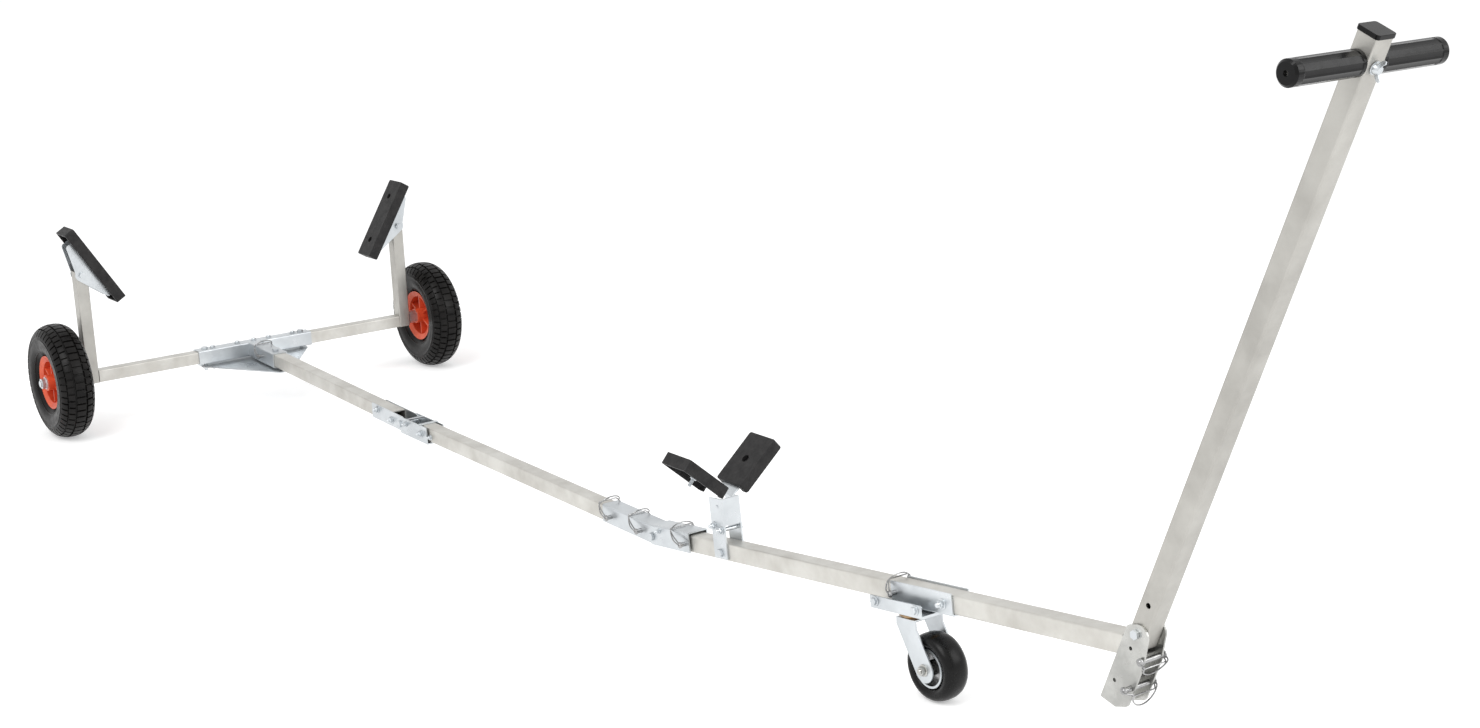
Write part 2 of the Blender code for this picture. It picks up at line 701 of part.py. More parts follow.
def build_bunk(side, tag):
    """Bunk pad on its folded bracket, tilting about the post's top bolt."""
    body = f"bunk_{tag}"
    pivot = Matrix.Translation((-ORIGIN_X, side * POST_Y, BUNK_PIVOT_Z))
    BODY[body] = pivot_empty(f"{body}_pivot", pivot)
    # Bracket frame: X down along the pad to its inner end, Z towards the hull
    down = Vector((0, -side * math.cos(BUNK_TILT), -math.sin(BUNK_TILT)))
    face = Vector((0, -side * math.sin(BUNK_TILT), math.cos(BUNK_TILT)))
    axes = Matrix((down, face.cross(down), face)).transposed().to_4x4()
    frame = pivot @ axes
    pad_frame = frame @ Matrix.Translation((0, 0, BUNK_FACE_OFFSET))
    screws = (-58 * mm, 58 * mm)
    make_pad(f"bunk_pad_{tag}", BUNK_LENGTH, BUNK_WIDTH, BUNK_THICKNESS, screws, pad_frame, body)

    inner = CROSS_TUBE / 2 + GAP
    web_top = BUNK_FACE_OFFSET - PAD_SKIN - GAP
    outline = channel_outline(inner, PLATE, web_top - PLATE, -30 * mm)
    bracket = new_object(f"bunk_bracket_{tag}", extrude_along_x("bracket", [outline], -74 * mm, 80 * mm))
    place(bracket, frame, body, ZINC_PLATE)
    shape = [(-73 * mm, web_top + 5 * mm)]
    shape += arc((-66 * mm, 16 * mm), 7 * mm, 180, 250, 3)
    shape += arc((0, 0), 15 * mm, 215, 300, 4)
    shape += arc((72 * mm, 22 * mm), 7 * mm, 285, 360, 3)
    shape += [(79 * mm, web_top + 5 * mm)]
    trim(bracket, extrude_sideways("bracket_shape", [shape], -40 * mm, 40 * mm), frame)
    cut(bracket, [cross_holes("bracket_holes", [(0, 0)], BOLT_RADIUS + GAP)], frame)
    screws_drill = []
    for x in screws:
        screws_drill.append(cylinder_mesh("screw_drill", (x, 0, 0), (x, 0, 40 * mm), 3.3 * mm, 12))
    cut(bracket, [joined_mesh("screw_drills", screws_drill)], frame)

    mesh = hex_bolt_mesh("pivot", -inner - PLATE - GAP, inner + PLATE + GAP, BOLT_RADIUS, 7.2 * mm, tip=1 * mm)
    mesh.transform(TOWARDS_Y)
    place(new_object(f"bunk_bolt_{tag}", mesh), frame, body, ZINC_PLATE)


def rounded_end_cutter(direction):
    """Removes a channel's square end beyond the pivot, leaving a round cheek."""
    radius = FOLD_OVERLAP
    far = 40 * mm
    high = 30 * mm
    outline = [(0, high), (far, high), (far, -high), (0, -high)]
    outline += arc((0, 0), radius, -90, 90, 8)
    mesh = extrude_sideways("round_end", [outline], -40 * mm, 40 * mm)
    if direction < 0:
        mesh.transform(Matrix.Rotation(math.pi, 4, "Z"))
    return mesh


def fold_channels(tag, up, rear_frame, front_frame, rear_body, front_body, rear_length, front_length, bolt_owner):
    """The two nested channels of a folding joint, and its pivot bolt.

    The floors are below for a joint that folds up, and above for one that
    folds down, so the open side lets the next tube swing through.
    """
    side = 1 if up else -1
    inner = BEAM_TUBE / 2 + GAP
    rim = side * BEAM_TUBE / 2
    rear_outline = channel_outline(inner, PLATE, -side * inner, rim)
    rear_mesh = extrude_along_x("rear", [rear_outline], -rear_length, FOLD_OVERLAP)
    rear = place(new_object(f"fold_{tag}_rear_channel", rear_mesh), rear_frame, rear_body, ZINC_PLATE)
    cut(rear, [rounded_end_cutter(1)], rear_frame)

    wide = inner + PLATE + GAP
    front_outline = channel_outline(wide, PLATE, -side * wide, rim)
    front_mesh = extrude_along_x("front", [front_outline], -FOLD_OVERLAP, front_length)
    front = place(new_object(f"fold_{tag}_front_channel", front_mesh), front_frame, front_body, ZINC_PLATE)
    cut(front, [rounded_end_cutter(-1)], front_frame)

    for obj, frame in ((rear, rear_frame), (front, front_frame)):
        cut(obj, [cross_holes("pivot_hole", [(0, 0)], BOLT_RADIUS + GAP)], frame)
    owner_frame = rear_frame if bolt_owner == rear_body else front_frame
    cross_bolt(f"fold_{tag}_pivot_bolt", 0, 0, wide + PLATE + GAP, owner_frame, bolt_owner)
    return rear, front


def build_folds():
    middle_length = (Vector((FOLD_B[0] - FOLD_A[0], 0, FOLD_B[1] - FOLD_A[1]))).length
    BODY["middle_beam"] = pivot_empty("middle_beam_pivot", MIDDLE_FRAME)
    beam_middle = square_tube(
        "beam_middle", BEAM_TUBE, 80 * mm, middle_length - 16 * mm, MIDDLE_FRAME, "middle_beam"
    )
    BODY["front_beam"] = pivot_empty("front_beam_pivot", FRONT_FRAME)
    snug = BEAM_TUBE / 2 + GAP + PLATE
    _, front_a = fold_channels(
        "a", True, FOLD_A_REAR_FRAME, MIDDLE_FRAME, "root", "middle_beam", FOLD_A_REAR, FOLD_A_FRONT, "root"
    )

    strap_half = BEAM_TUBE / 2 + GAP + PLATE + 1 * mm
    strap_high = BEAM_TUBE / 2
    strap = box_mesh("strap", (24 * mm, -strap_half, strap_high - PLATE), (33 * mm, strap_half, strap_high))
    unite(front_a, [strap], MIDDLE_FRAME)
    rear_b, front_b = fold_channels(
        "b", False, FOLD_B_REAR_FRAME, FRONT_FRAME, "middle_beam", "front_beam", FOLD_B_REAR, FOLD_B_FRONT, "middle_beam"
    )
    pins = (-138 * mm, -40 * mm)
    for obj in (rear_b, beam_middle):
        cut(obj, [cross_holes("pins", [(at, 0) for at in pins], 4.2 * mm)], FOLD_B_REAR_FRAME)
    for number, at in enumerate(pins, 1):
        ring_pin(f"fold_b_ring_pin_{number}", at, 0, snug, snug, FOLD_B_REAR_FRAME, "middle_beam")
    return front_b


def build_front_beam(front_channel):
    end = Vector((HANDLE_FOOT[0] - FOLD_B[0], 0, HANDLE_FOOT[1] - FOLD_B[1])).length
    beam = square_tube("beam_front", BEAM_TUBE, 32 * mm, end, FRONT_FRAME, "front_beam")
    behind = box_mesh("end_cut", (-18.8 * mm, -60 * mm, -200 * mm), (200 * mm, 60 * mm, 200 * mm))
    cut(beam, [behind], HANDLE_FRAME)
    wide = BEAM_TUBE / 2 + 2 * GAP + 2 * PLATE
    pin_at = 103 * mm
    for obj in (beam, front_channel):
        cut(obj, [cross_holes("pin", [(pin_at, 0)], 4.2 * mm)], FRONT_FRAME)
    ring_pin("fold_b_ring_pin_3", pin_at, 0, wide, wide, FRONT_FRAME, "front_beam")
    return beam


def build_keel_support(beam):
    """Upright of folded plate astride the beam, with a vee of two pads."""
    frame = FRONT_FRAME @ Matrix.Translation((KEEL_AT, 0, 0))
    cheek_in = BEAM_TUBE / 2 + GAP
    cheek_out = cheek_in + 3 * mm
    half = KEEL_DEPTH / 2
    outline = [
        (-half, cheek_out),
        (-half, cheek_in),
        (half - 3 * mm, cheek_in),
        (half - 3 * mm, -cheek_in),
        (-half, -cheek_in),
        (-half, -cheek_out),
        (half, -cheek_out),
        (half, cheek_out),
    ]
    low = -12 * mm
    mesh = extruded_mesh("keel_upright", [outline], KEEL_TOP - low)
    mesh.transform(Matrix.Translation((0, 0, (KEEL_TOP + low) / 2)))
    upright = place(new_object("keel_upright", mesh), frame, "front_beam", ZINC_PLATE)
    window = box_mesh("web_cut", (half - 5 * mm, -cheek_in, low - 5 * mm), (half + 5 * mm, cheek_in, 46 * mm))
    cut(upright, [window], frame)
    for obj in (upright, beam):
        cut(obj, [cross_holes("keel_hole", [(0, -2 * mm)], BOLT_RADIUS + GAP)], frame)
    cross_bolt("keel_bolt", 0, -2 * mm, cheek_out + GAP, frame, "front_beam")

    # The vee is upright in the world, above the support
    vee = Matrix.Translation((KEEL_CENTER_X - ORIGIN_X, 0, KEEL_FACE_Z))
    arm = KEEL_PAD_LENGTH * 0.86
    depth = PAD_SKIN + GAP
    cosine = math.cos(KEEL_TILT)
    sine = math.sin(KEEL_TILT)

    def on_arm(along, down, side):
        return (side * (KEEL_FACE_Y + along * cosine + down * sine), along * sine - down * cosine)

    right = [on_arm(arm, depth, 1), on_arm(arm, depth + 3 * mm, 1), on_arm(4 * mm, depth + 3 * mm, 1)]
    base_z = on_arm(4 * mm, depth + 3 * mm, 1)[1] - 7 * mm
    base = [(cheek_in - 1 * mm, base_z), (-cheek_in + 1 * mm, base_z)]
    left = [on_arm(4 * mm, depth + 3 * mm, -1), on_arm(arm, depth + 3 * mm, -1), on_arm(arm, depth, -1)]
    notch = on_arm(0, depth, 1)[1] + (KEEL_FACE_Y + depth * sine) * -math.tan(KEEL_TILT)
    outline = right + base + left + [(0, notch)]
    saddle = new_object("keel_vee", extrude_along_x("keel_vee", [outline], -KEEL_VEE_HALF, KEEL_VEE_HALF))
    place(saddle, vee, "front_beam", ZINC_PLATE)

    for side, tag in ((1, "left"), (-1, "right")):
        outward = Vector((0, side * cosine, sine))
        face = Vector((0, -side * sine, cosine))
        axes = Matrix((outward, face.cross(outward), face)).transposed().to_4x4()
        middle = Vector((0, side * KEEL_FACE_Y, 0)) + outward * (KEEL_PAD_LENGTH / 2)
        pad_frame = vee @ Matrix.Translation(middle) @ axes
        pad = make_pad(
            f"keel_pad_{tag}", KEEL_PAD_LENGTH, KEEL_WIDTH, KEEL_PAD_THICKNESS, (0,), pad_frame, "front_beam"
        )
        open_pad_end(pad, KEEL_PAD_LENGTH, KEEL_VEE_HALF + 0.5 * mm, pad_frame)
        drill = cylinder_mesh("vee_drill", (0, 0, -30 * mm), (0, 0, 0), 3.3 * mm, 12)
        cut(saddle, [drill], pad_frame)


def build_castor(beam):
    """Saddle and plate under the beam, swivelling fork, and wheel."""
    frame = FRONT_FRAME @ Matrix.Translation((CASTOR_AT, 0, 0))
    inner = BEAM_TUBE / 2 + GAP
    outer = inner + PLATE
    outline = channel_outline(inner, PLATE, -inner, 17 * mm)
    saddle = new_object("castor_saddle", extrude_along_x("castor_saddle", [outline], -40 * mm, 100 * mm))
    place(saddle, frame, "front_beam", ZINC_PLATE)
    pin_at = -30 * mm
    for obj in (saddle, beam):
        cut(obj, [cross_holes("castor_pin", [(pin_at, 0)], 4.2 * mm)], frame)
    ring_pin("castor_ring_pin", pin_at, 0, outer, 17 * mm, frame, "front_beam")

    # The plate's long edges are folded up
    top = CASTOR_PLATE_Z
    half = CASTOR_PLATE_WIDTH / 2
    low = top - CASTOR_PLATE_THICKNESS
    fold = 3 * mm
    outline = [(-half, top + CASTOR_FLANGE)]
    outline += arc((-half + fold, low + fold), fold, 180, 270, 2)
    outline += arc((half - fold, low + fold), fold, 270, 360, 2)
    outline += [(half, top + CASTOR_FLANGE), (half - fold, top + CASTOR_FLANGE), (half - fold, top)]
    outline += [(-half + fold, top), (-half + fold, top + CASTOR_FLANGE)]
    mesh = extrude_along_x("castor_plate", [outline], -CASTOR_PLATE_REAR, CASTOR_PLATE_FRONT)
    plate = place(new_object("castor_plate", mesh), frame, "front_beam", ZINC_PLATE)
    holes = [(-CASTOR_PLATE_REAR + 12 * mm, top + 9 * mm), (CASTOR_PLATE_FRONT - 12 * mm, top + 9 * mm)]
    cut(plate, [cross_holes("flange_holes", holes, BOLT_RADIUS + GAP, 60 * mm)], frame)
    build_castor_fork(frame, top - CASTOR_PLATE_THICKNESS)


def build_castor_fork(frame, plate_bottom):
    swivel = frame @ Matrix.Translation((0, 0, plate_bottom))
    BODY["castor_fork"] = pivot_empty("castor_swivel", swivel)
    race_depth = 8 * mm
    race = [
        (15 * mm, -GAP),
        (30 * mm, -GAP),
        (32 * mm, -3 * mm),
        (27 * mm, -race_depth),
        (15 * mm, -race_depth),
    ]
    turned("castor_raceway", race, 32, swivel, "castor_fork", BRASS)

    center = swivel.inverted() @ Vector((CASTOR_X - ORIGIN_X, 0, CASTOR_RADIUS))
    crown_top = -race_depth - GAP
    outer = LEG_INNER + LEG_THICKNESS
    outline = [
        (-outer, crown_top - 100 * mm),
        (-outer, crown_top),
        (outer, crown_top),
        (outer, crown_top - 100 * mm),
        (LEG_INNER, crown_top - 100 * mm),
        (LEG_INNER, crown_top - LEG_THICKNESS),
        (-LEG_INNER, crown_top - LEG_THICKNESS),
        (-LEG_INNER, crown_top - 100 * mm),
    ]
    fork = new_object("castor_fork", extrude_along_x("castor_fork", [outline], -30 * mm, 60 * mm))
    place(fork, swivel, "castor_fork", ZINC_PLATE)
    foot = 21 * mm
    shape = [(-23 * mm, crown_top + 5 * mm), (-25 * mm, crown_top - 10 * mm)]
    shape += arc((center.x, center.z), foot, 205, 385, 10)
    shape += [(25 * mm, crown_top - 14 * mm), (23 * mm, crown_top + 5 * mm)]
    trim(fork, extrude_sideways("leg_shape", [shape], -40 * mm, 40 * mm), swivel)
    cut(fork, [cross_holes("axle", [(center.x, center.z)], 4.3 * mm)], swivel)
    mesh = hex_bolt_mesh("castor_axle", -outer - GAP, outer + GAP, 4 * mm, 7.2 * mm)
    mesh.transform(Matrix.Translation(center) @ TOWARDS_Y)
    place(new_object("castor_axle", mesh), swivel, "castor_fork", ZINC_PLATE)

    hub = Matrix.Translation(swivel @ center)
    BODY["castor_wheel"] = pivot_empty("castor_wheel_pivot", hub)
    axle = hub @ Matrix.Rotation(math.radians(-90), 4, "X")
    core_radius = 31 * mm
    half = CASTOR_WIDTH / 2
    tread = facet_radius(CASTOR_RADIUS, CASTOR_STEPS)
    side_points = [
        (core_radius + 0.3 * mm, 15 * mm),
        (core_radius + 4 * mm, half - 1 * mm),
        (core_radius + 8 * mm, half),
        (tread - 9 * mm, half - 2.5 * mm),
        (tread - 4 * mm, half - 7 * mm),
        (tread - 1 * mm, half - 12 * mm),
        (tread, half - 17 * mm),
    ]
    profile = side_points + [(radius, -height) for radius, height in reversed(side_points)]
    turned("castor_tyre", profile, CASTOR_STEPS, axle, "castor_wheel", TYRE_RUBBER, half_step=True)
    core = [
        (12 * mm, 21.5 * mm),
        (12 * mm, 6 * mm),
        (core_radius - 5 * mm, 5 * mm),
        (core_radius - 3 * mm, 17 * mm),
        (core_radius, 17 * mm),
    ]
    mirrored = [(radius, -height) for radius, height in reversed(core)]
    bore = [(4.3 * mm, -21.5 * mm), (4.3 * mm, 21.5 * mm)]
    turned("castor_core", core + mirrored + bore, CASTOR_STEPS, axle, "castor_wheel", STEEL_WIRE)


def build_handle_bracket():
    """Open-fronted channel on the beam's end that carries the handle's foot."""
    inner = BEAM_TUBE / 2 + GAP
    wall = 3 * mm
    outer = inner + wall
    back = -inner - wall
    front = 30 * mm
    outline = [
        (back, -outer),
        (front, -outer),
        (front, -inner),
        (back + wall, -inner),
        (back + wall, inner),
        (front, inner),
        (front, outer),
        (back, outer),
    ]
    low = -66 * mm
    high = 80 * mm
    mesh = extruded_mesh("handle_bracket", [outline], high - low)
    mesh.transform(Matrix.Translation((0, 0, (high + low) / 2)))
    bracket = place(new_object("handle_bracket", mesh), HANDLE_FRAME, "front_beam", ZINC_PLATE)
    shape = [(back - 5 * mm, low - 1 * mm), (10 * mm, low + 4 * mm)]
    shape += arc((19 * mm, -42 * mm), 10 * mm, -60, 0, 3)
    shape += [(29 * mm, 24 * mm)]
    shape += arc((5 * mm, HANDLE_PIVOT), 17 * mm, 0, 120, 6)
    shape += [(-17 * mm, 62 * mm), (back - 5 * mm, 50 * mm)]
    trim(bracket, extrude_sideways("cheek_shape", [shape], -60 * mm, 60 * mm), HANDLE_FRAME)
    swing = box_mesh("swing_gap", (back - 5 * mm, -inner, 33 * mm), (back + wall + 1 * mm, inner, 90 * mm))
    pins = [(24 * mm, 30 * mm), (23 * mm, -18 * mm)]
    holes = cross_holes("pins", pins, 4.2 * mm)
    pivot = cross_holes("pivot", [(0, HANDLE_PIVOT)], BOLT_RADIUS + GAP)
    spare = cross_holes("spare", [(0, 34 * mm), (-6 * mm, -27 * mm)], 3 * mm)
    cut(bracket, [swing, holes, pivot, spare], HANDLE_FRAME)
    cross_bolt("handle_pivot_bolt", 0, HANDLE_PIVOT, outer + GAP, HANDLE_FRAME, "front_beam")
    quarter = math.radians(125)
    for number, (x, z) in enumerate(pins, 1):
        frame = HANDLE_FRAME @ Matrix.Translation((x, 0, z)) @ Matrix.Rotation(quarter, 4, "Y")
        ring_pin(f"handle_ring_pin_{number}", 0, 0, outer, 18 * mm, frame, "front_beam", bulge=8 * mm)


def build_handle():
    BODY["handle"] = pivot_empty("handle_pivot", HANDLE_FRAME, (0, 0, HANDLE_PIVOT))
    upright = HANDLE_FRAME @ Matrix.Rotation(math.radians(-90), 4, "Y")
    foot = HANDLE_PIVOT - 18.6 * mm
    tube = square_tube("handle_tube", BEAM_TUBE, foot, HANDLE_TOP, upright, "handle")
    sides = cross_holes("side_holes", [(0, HANDLE_PIVOT), (0, 107 * mm)], BOLT_RADIUS + GAP)
    rod_hole = cross_holes("rod_hole", [(0, GRIP_HEIGHT)], GRIP_ROD_RADIUS + GAP, sides=24)
    bolt_hole = cylinder_mesh("bolt_hole", (-40 * mm, 0, GRIP_HEIGHT), (40 * mm, 0, GRIP_HEIGHT), 3.3 * mm, 12)
    cut(tube, [sides, rod_hole, bolt_hole], HANDLE_FRAME)

    cap = extruded_mesh("handle_cap", [rounded_rectangle(33 * mm, 33 * mm, 4 * mm, 3)], 6 * mm)
    cap.transform(Matrix.Translation((0, 0, HANDLE_TOP + GAP + 3 * mm)))
    cap_object = place(new_object("handle_cap", cap), HANDLE_FRAME, "handle", GRIP_PLASTIC)
    bevel(cap_object, 1.5 * mm, 2)
    plug_half = BEAM_TUBE / 2 - TUBE_WALL - 2 * GAP
    plug = box_mesh("plug", (-plug_half, -plug_half, HANDLE_TOP - 14 * mm), (plug_half, plug_half, HANDLE_TOP + 3 * mm))
    unite(cap_object, [plug], HANDLE_FRAME)

    center = HANDLE_FRAME @ Matrix.Translation((0, 0, GRIP_HEIGHT))
    rod = cylinder_mesh("grip_rod", (0, -GRIP_HALF + 6 * mm, 0), (0, GRIP_HALF - 6 * mm, 0), GRIP_ROD_RADIUS, 24)
    rod_object = place(new_object("grip_rod", rod), center, "handle", GALVANISED_TUBE)
    cut(rod_object, [cylinder_mesh("hole", (-20 * mm, 0, 0), (20 * mm, 0, 0), 3.3 * mm, 12)], center)
    half = BEAM_TUBE / 2 + GAP
    mesh = hex_bolt_mesh("grip_bolt", -half, half, 3 * mm, 6.2 * mm, tip=4 * mm)
    mesh.transform(Matrix.Rotation(math.radians(-90), 4, "Y"))
    place(new_object("grip_bolt", mesh), center, "handle", ZINC_PLATE)
    for side, tag in ((1, "left"), (-1, "right")):
        frame = center @ Matrix.Rotation(math.radians(-90 * side), 4, "X")
        place(new_object(f"grip_{tag}", grip_mesh(f"grip_{tag}")), frame, "handle", GRIP_PLASTIC)


def grip_mesh(name):
    """Sleeve with lengthwise ribs, a plain collar at each end and an air hole."""
    count = 36
    ribs = 12
    start = BEAM_TUBE / 2 + 2 * GAP
    end = GRIP_HALF

    def ribbed(radius):
        depth = 1.0 * mm
        points = []
        for angle in ring_angles(count):
            wave = 0.5 - 0.5 * math.cos(angle * ribs)
            reach = radius - depth * wave
            points.append((reach * math.cos(angle), reach * math.sin(angle)))
        return points

    plain = round_ring(GRIP_RADIUS, count)
    bore = round_ring(GRIP_ROD_RADIUS + GAP, count)
    hole = round_ring(3.5 * mm, count)
    rings = [
        (start, bore),
        (start, plain),
        (start + 5 * mm, plain),
        (start + 7 * mm, ribbed(GRIP_RADIUS)),
        (end - 14 * mm, ribbed(GRIP_RADIUS)),
        (end - 12 * mm, plain),
        (end - 3 * mm, plain),
        (end, round_ring(GRIP_RADIUS - 3 * mm, count)),
        (end, hole),
        (end - 5.7 * mm, hole),
        (end - 5.7 * mm, bore),
    ]
    return lofted_mesh(name, rings, closed=True)


build_rear_frame()
for wheel_side, wheel_tag in ((1, "left"), (-1, "right")):
    build_wheel(wheel_side, wheel_tag)
    build_post(wheel_side, wheel_tag)
    build_bunk(wheel_side, wheel_tag)
front_channel = build_folds()
beam_front = build_front_beam(front_channel)
build_keel_support(beam_front)
build_castor(beam_front)
build_handle_bracket()
build_handle()
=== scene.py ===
import json
import math

import bmesh
import bpy
from mathutils import Matrix, Vector


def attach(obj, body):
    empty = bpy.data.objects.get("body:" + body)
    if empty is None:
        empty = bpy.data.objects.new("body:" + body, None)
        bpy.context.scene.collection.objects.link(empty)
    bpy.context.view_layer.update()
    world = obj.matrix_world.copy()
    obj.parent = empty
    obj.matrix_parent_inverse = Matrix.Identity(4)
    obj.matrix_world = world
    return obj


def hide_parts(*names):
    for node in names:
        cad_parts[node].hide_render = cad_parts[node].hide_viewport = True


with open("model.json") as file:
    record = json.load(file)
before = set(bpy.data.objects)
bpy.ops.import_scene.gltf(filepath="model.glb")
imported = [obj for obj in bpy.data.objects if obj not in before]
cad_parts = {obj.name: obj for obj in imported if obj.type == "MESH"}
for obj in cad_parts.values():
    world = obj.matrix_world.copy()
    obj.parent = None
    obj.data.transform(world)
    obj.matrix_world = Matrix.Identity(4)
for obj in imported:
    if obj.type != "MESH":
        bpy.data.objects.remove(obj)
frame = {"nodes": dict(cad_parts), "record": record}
NODES = frame["nodes"]

mm = 0.001


def note_size():
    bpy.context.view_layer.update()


note_size()


# Layout shared with the frame: X from the main axle, Z from the ground

ORIGIN_X = 1570.238 * mm
BEAM_START = (0.0, 126 * mm)
FOLD_A = (790 * mm, 97.7 * mm)
FOLD_B = (1741 * mm, 81.8 * mm)
HANDLE_FOOT = (2882 * mm, 175.7 * mm)
BEAM_END_PITCH = math.radians(6.26)
HANDLE_LEAN = math.radians(23.3)


def tilted_frame(x, z, pitch):
    """A member's own frame in the centre plane: X along it, Z across it."""
    return Matrix.Translation((x - ORIGIN_X, 0.0, z)) @ Matrix.Rotation(-pitch, 4, "Y")


REAR_PITCH = math.atan2(FOLD_A[1] - BEAM_START[1], FOLD_A[0] - BEAM_START[0])
MIDDLE_PITCH = math.atan2(FOLD_B[1] - FOLD_A[1], FOLD_B[0] - FOLD_A[0])
REAR_FRAME = tilted_frame(*BEAM_START, REAR_PITCH)
REAR_FOLD_FRAME = tilted_frame(*FOLD_A, REAR_PITCH)
MIDDLE_FRAME = tilted_frame(*FOLD_A, MIDDLE_PITCH)
FRONT_FRAME = tilted_frame(*FOLD_B, BEAM_END_PITCH)
# At the handle's foot Z runs up the handle and X points to the front
HANDLE_FRAME = tilted_frame(*HANDLE_FOOT, -HANDLE_LEAN)

# Half widths, in mm, over the member at each fastening
TUBE_HALF = 15.0
CHANNEL_HALF = 17.8
BRACKET_HALF = 18.3
NESTED_HALF = 20.6


# Camera, solved from the photograph

CAMERA_YAW = math.radians(54.637)
CAMERA_PITCH = math.radians(13.934)
CAMERA_ROLL = math.radians(-2.516)
CAMERA_PLACE = (4.840307 - ORIGIN_X, -2.014731, 1.300180)
CAMERA_SENSOR = 36
CAMERA_LENS = 53.46


def add_camera():
    right = Vector((math.cos(CAMERA_YAW), math.sin(CAMERA_YAW), 0))
    level = Vector((-math.sin(CAMERA_YAW), math.cos(CAMERA_YAW), 0))
    up = level * math.sin(CAMERA_PITCH) + Vector((0, 0, math.cos(CAMERA_PITCH)))
    forward = level * math.cos(CAMERA_PITCH) + Vector((0, 0, -math.sin(CAMERA_PITCH)))
    cam_x = right * math.cos(CAMERA_ROLL) + up * math.sin(CAMERA_ROLL)
    cam_y = up * math.cos(CAMERA_ROLL) - right * math.sin(CAMERA_ROLL)
    camera = bpy.data.objects.new("camera", bpy.data.cameras.new("camera"))
    axes = Matrix((cam_x, cam_y, -forward)).transposed().to_4x4()
    camera.matrix_world = Matrix.Translation(CAMERA_PLACE) @ axes
    camera.data.sensor_width = CAMERA_SENSOR
    camera.data.lens = CAMERA_LENS
    bpy.context.scene.collection.objects.link(camera)
    bpy.context.scene.camera = camera


add_camera()


# Floor, backdrop and lamps

SEEN_RAYS = ("Is Camera Ray", "Is Glossy Ray", "Is Transmission Ray")
FLOOR_REACH = 40
FLOOR_GREY = 0.9
FLOOR_LIFT = 0.36
WORLD_STRENGTH = 0.75
# Name, place, aim, size and power
LAMPS = (
    ("key", (1.5, -4.0, 5.0), (0, 0, 0.2), 3.5, 170),
    ("fill", (4.5, 2.5, 3.0), (0.5, 0, 0.3), 3.0, 75),
)


def seen_ray(nodes, links):
    """1 for the rays that see the backdrop: from the camera, in gloss or through glass."""
    path = nodes.new("ShaderNodeLightPath")
    value = path.outputs[SEEN_RAYS[0]]
    for name in SEEN_RAYS[1:]:
        most = nodes.new("ShaderNodeMath")
        most.operation = "MAXIMUM"
        links.new(value, most.inputs[0])
        links.new(path.outputs[name], most.inputs[1])
        value = most.outputs[0]
    return value


def add_floor():
    mesh = bpy.data.meshes.new("floor")
    work = bmesh.new()
    bmesh.ops.create_grid(work, x_segments=1, y_segments=1, size=FLOOR_REACH)
    work.to_mesh(mesh)
    work.free()
    floor = bpy.data.objects.new("floor", mesh)
    bpy.context.scene.collection.objects.link(floor)
    material = bpy.data.materials.new("floor")
    material.use_nodes = True
    nodes = material.node_tree.nodes
    links = material.node_tree.links
    shader = nodes["Principled BSDF"]
    shader.inputs["Base Color"].default_value = (FLOOR_GREY, FLOOR_GREY, FLOOR_GREY, 1)
    shader.inputs["Roughness"].default_value = 0.9
    shader.inputs["Specular IOR Level"].default_value = 0.0
    lift = nodes.new("ShaderNodeEmission")
    links.new(seen_ray(nodes, links), lift.inputs["Strength"])
    lift.inputs["Color"].default_value = (FLOOR_LIFT, FLOOR_LIFT, FLOOR_LIFT, 1)
    both = nodes.new("ShaderNodeAddShader")
    links.new(shader.outputs[0], both.inputs[0])
    links.new(lift.outputs[0], both.inputs[1])
    links.new(both.outputs[0], nodes["Material Output"].inputs["Surface"])
    mesh.materials.append(material)


def add_world():
    world = bpy.data.worlds.new("studio")
    bpy.context.scene.world = world
    world.use_nodes = True
    nodes = world.node_tree.nodes
    links = world.node_tree.links
    background = nodes["Background"]
    background.inputs["Color"].default_value = (1, 1, 1, 1)
    background.inputs["Strength"].default_value = WORLD_STRENGTH
    seen = nodes.new("ShaderNodeBackground")
    seen.inputs["Color"].default_value = (1, 1, 1, 1)
    mix = nodes.new("ShaderNodeMixShader")
    links.new(seen_ray(nodes, links), mix.inputs[0])
    links.new(background.outputs[0], mix.inputs[1])
    links.new(seen.outputs[0], mix.inputs[2])
    links.new(mix.outputs[0], nodes["World Output"].inputs["Surface"])


def add_lamp(name, place, aim, size, power):
    lamp = bpy.data.lights.new(name, "AREA")
    lamp.shape = "RECTANGLE"
    lamp.size = size
    lamp.size_y = size
    lamp.energy = power
    holder = bpy.data.objects.new(name, lamp)
    bpy.context.scene.collection.objects.link(holder)
    holder.location = place
    direction = Vector(aim) - Vector(place)
    holder.rotation_euler = direction.to_track_quat("-Z", "Y").to_euler()


bpy.context.scene.view_settings.view_transform = "Standard"
add_floor()
add_world()
for lamp_row in LAMPS:
    add_lamp(*lamp_row)


# Materials

GRAIN_STRENGTH = 0.25


def base_material(name, metallic, roughness):
    made = bpy.data.materials.new(name)
    made.use_nodes = True
    shader = made.node_tree.nodes["Principled BSDF"]
    shader.inputs["Metallic"].default_value = metallic
    shader.inputs["Roughness"].default_value = roughness
    return made, made.node_tree.nodes, made.node_tree.links, shader


def object_coords(nodes, links):
    coords = nodes.new("ShaderNodeTexCoord")
    mapping = nodes.new("ShaderNodeMapping")
    links.new(coords.outputs["Object"], mapping.inputs["Vector"])
    return mapping.outputs[0]


def noise(nodes, links, vector, scale, detail=4):
    made = nodes.new("ShaderNodeTexNoise")
    made.inputs["Scale"].default_value = scale
    made.inputs["Detail"].default_value = detail
    made.inputs["Roughness"].default_value = 0.6
    links.new(vector, made.inputs["Vector"])
    return made.outputs["Fac"]


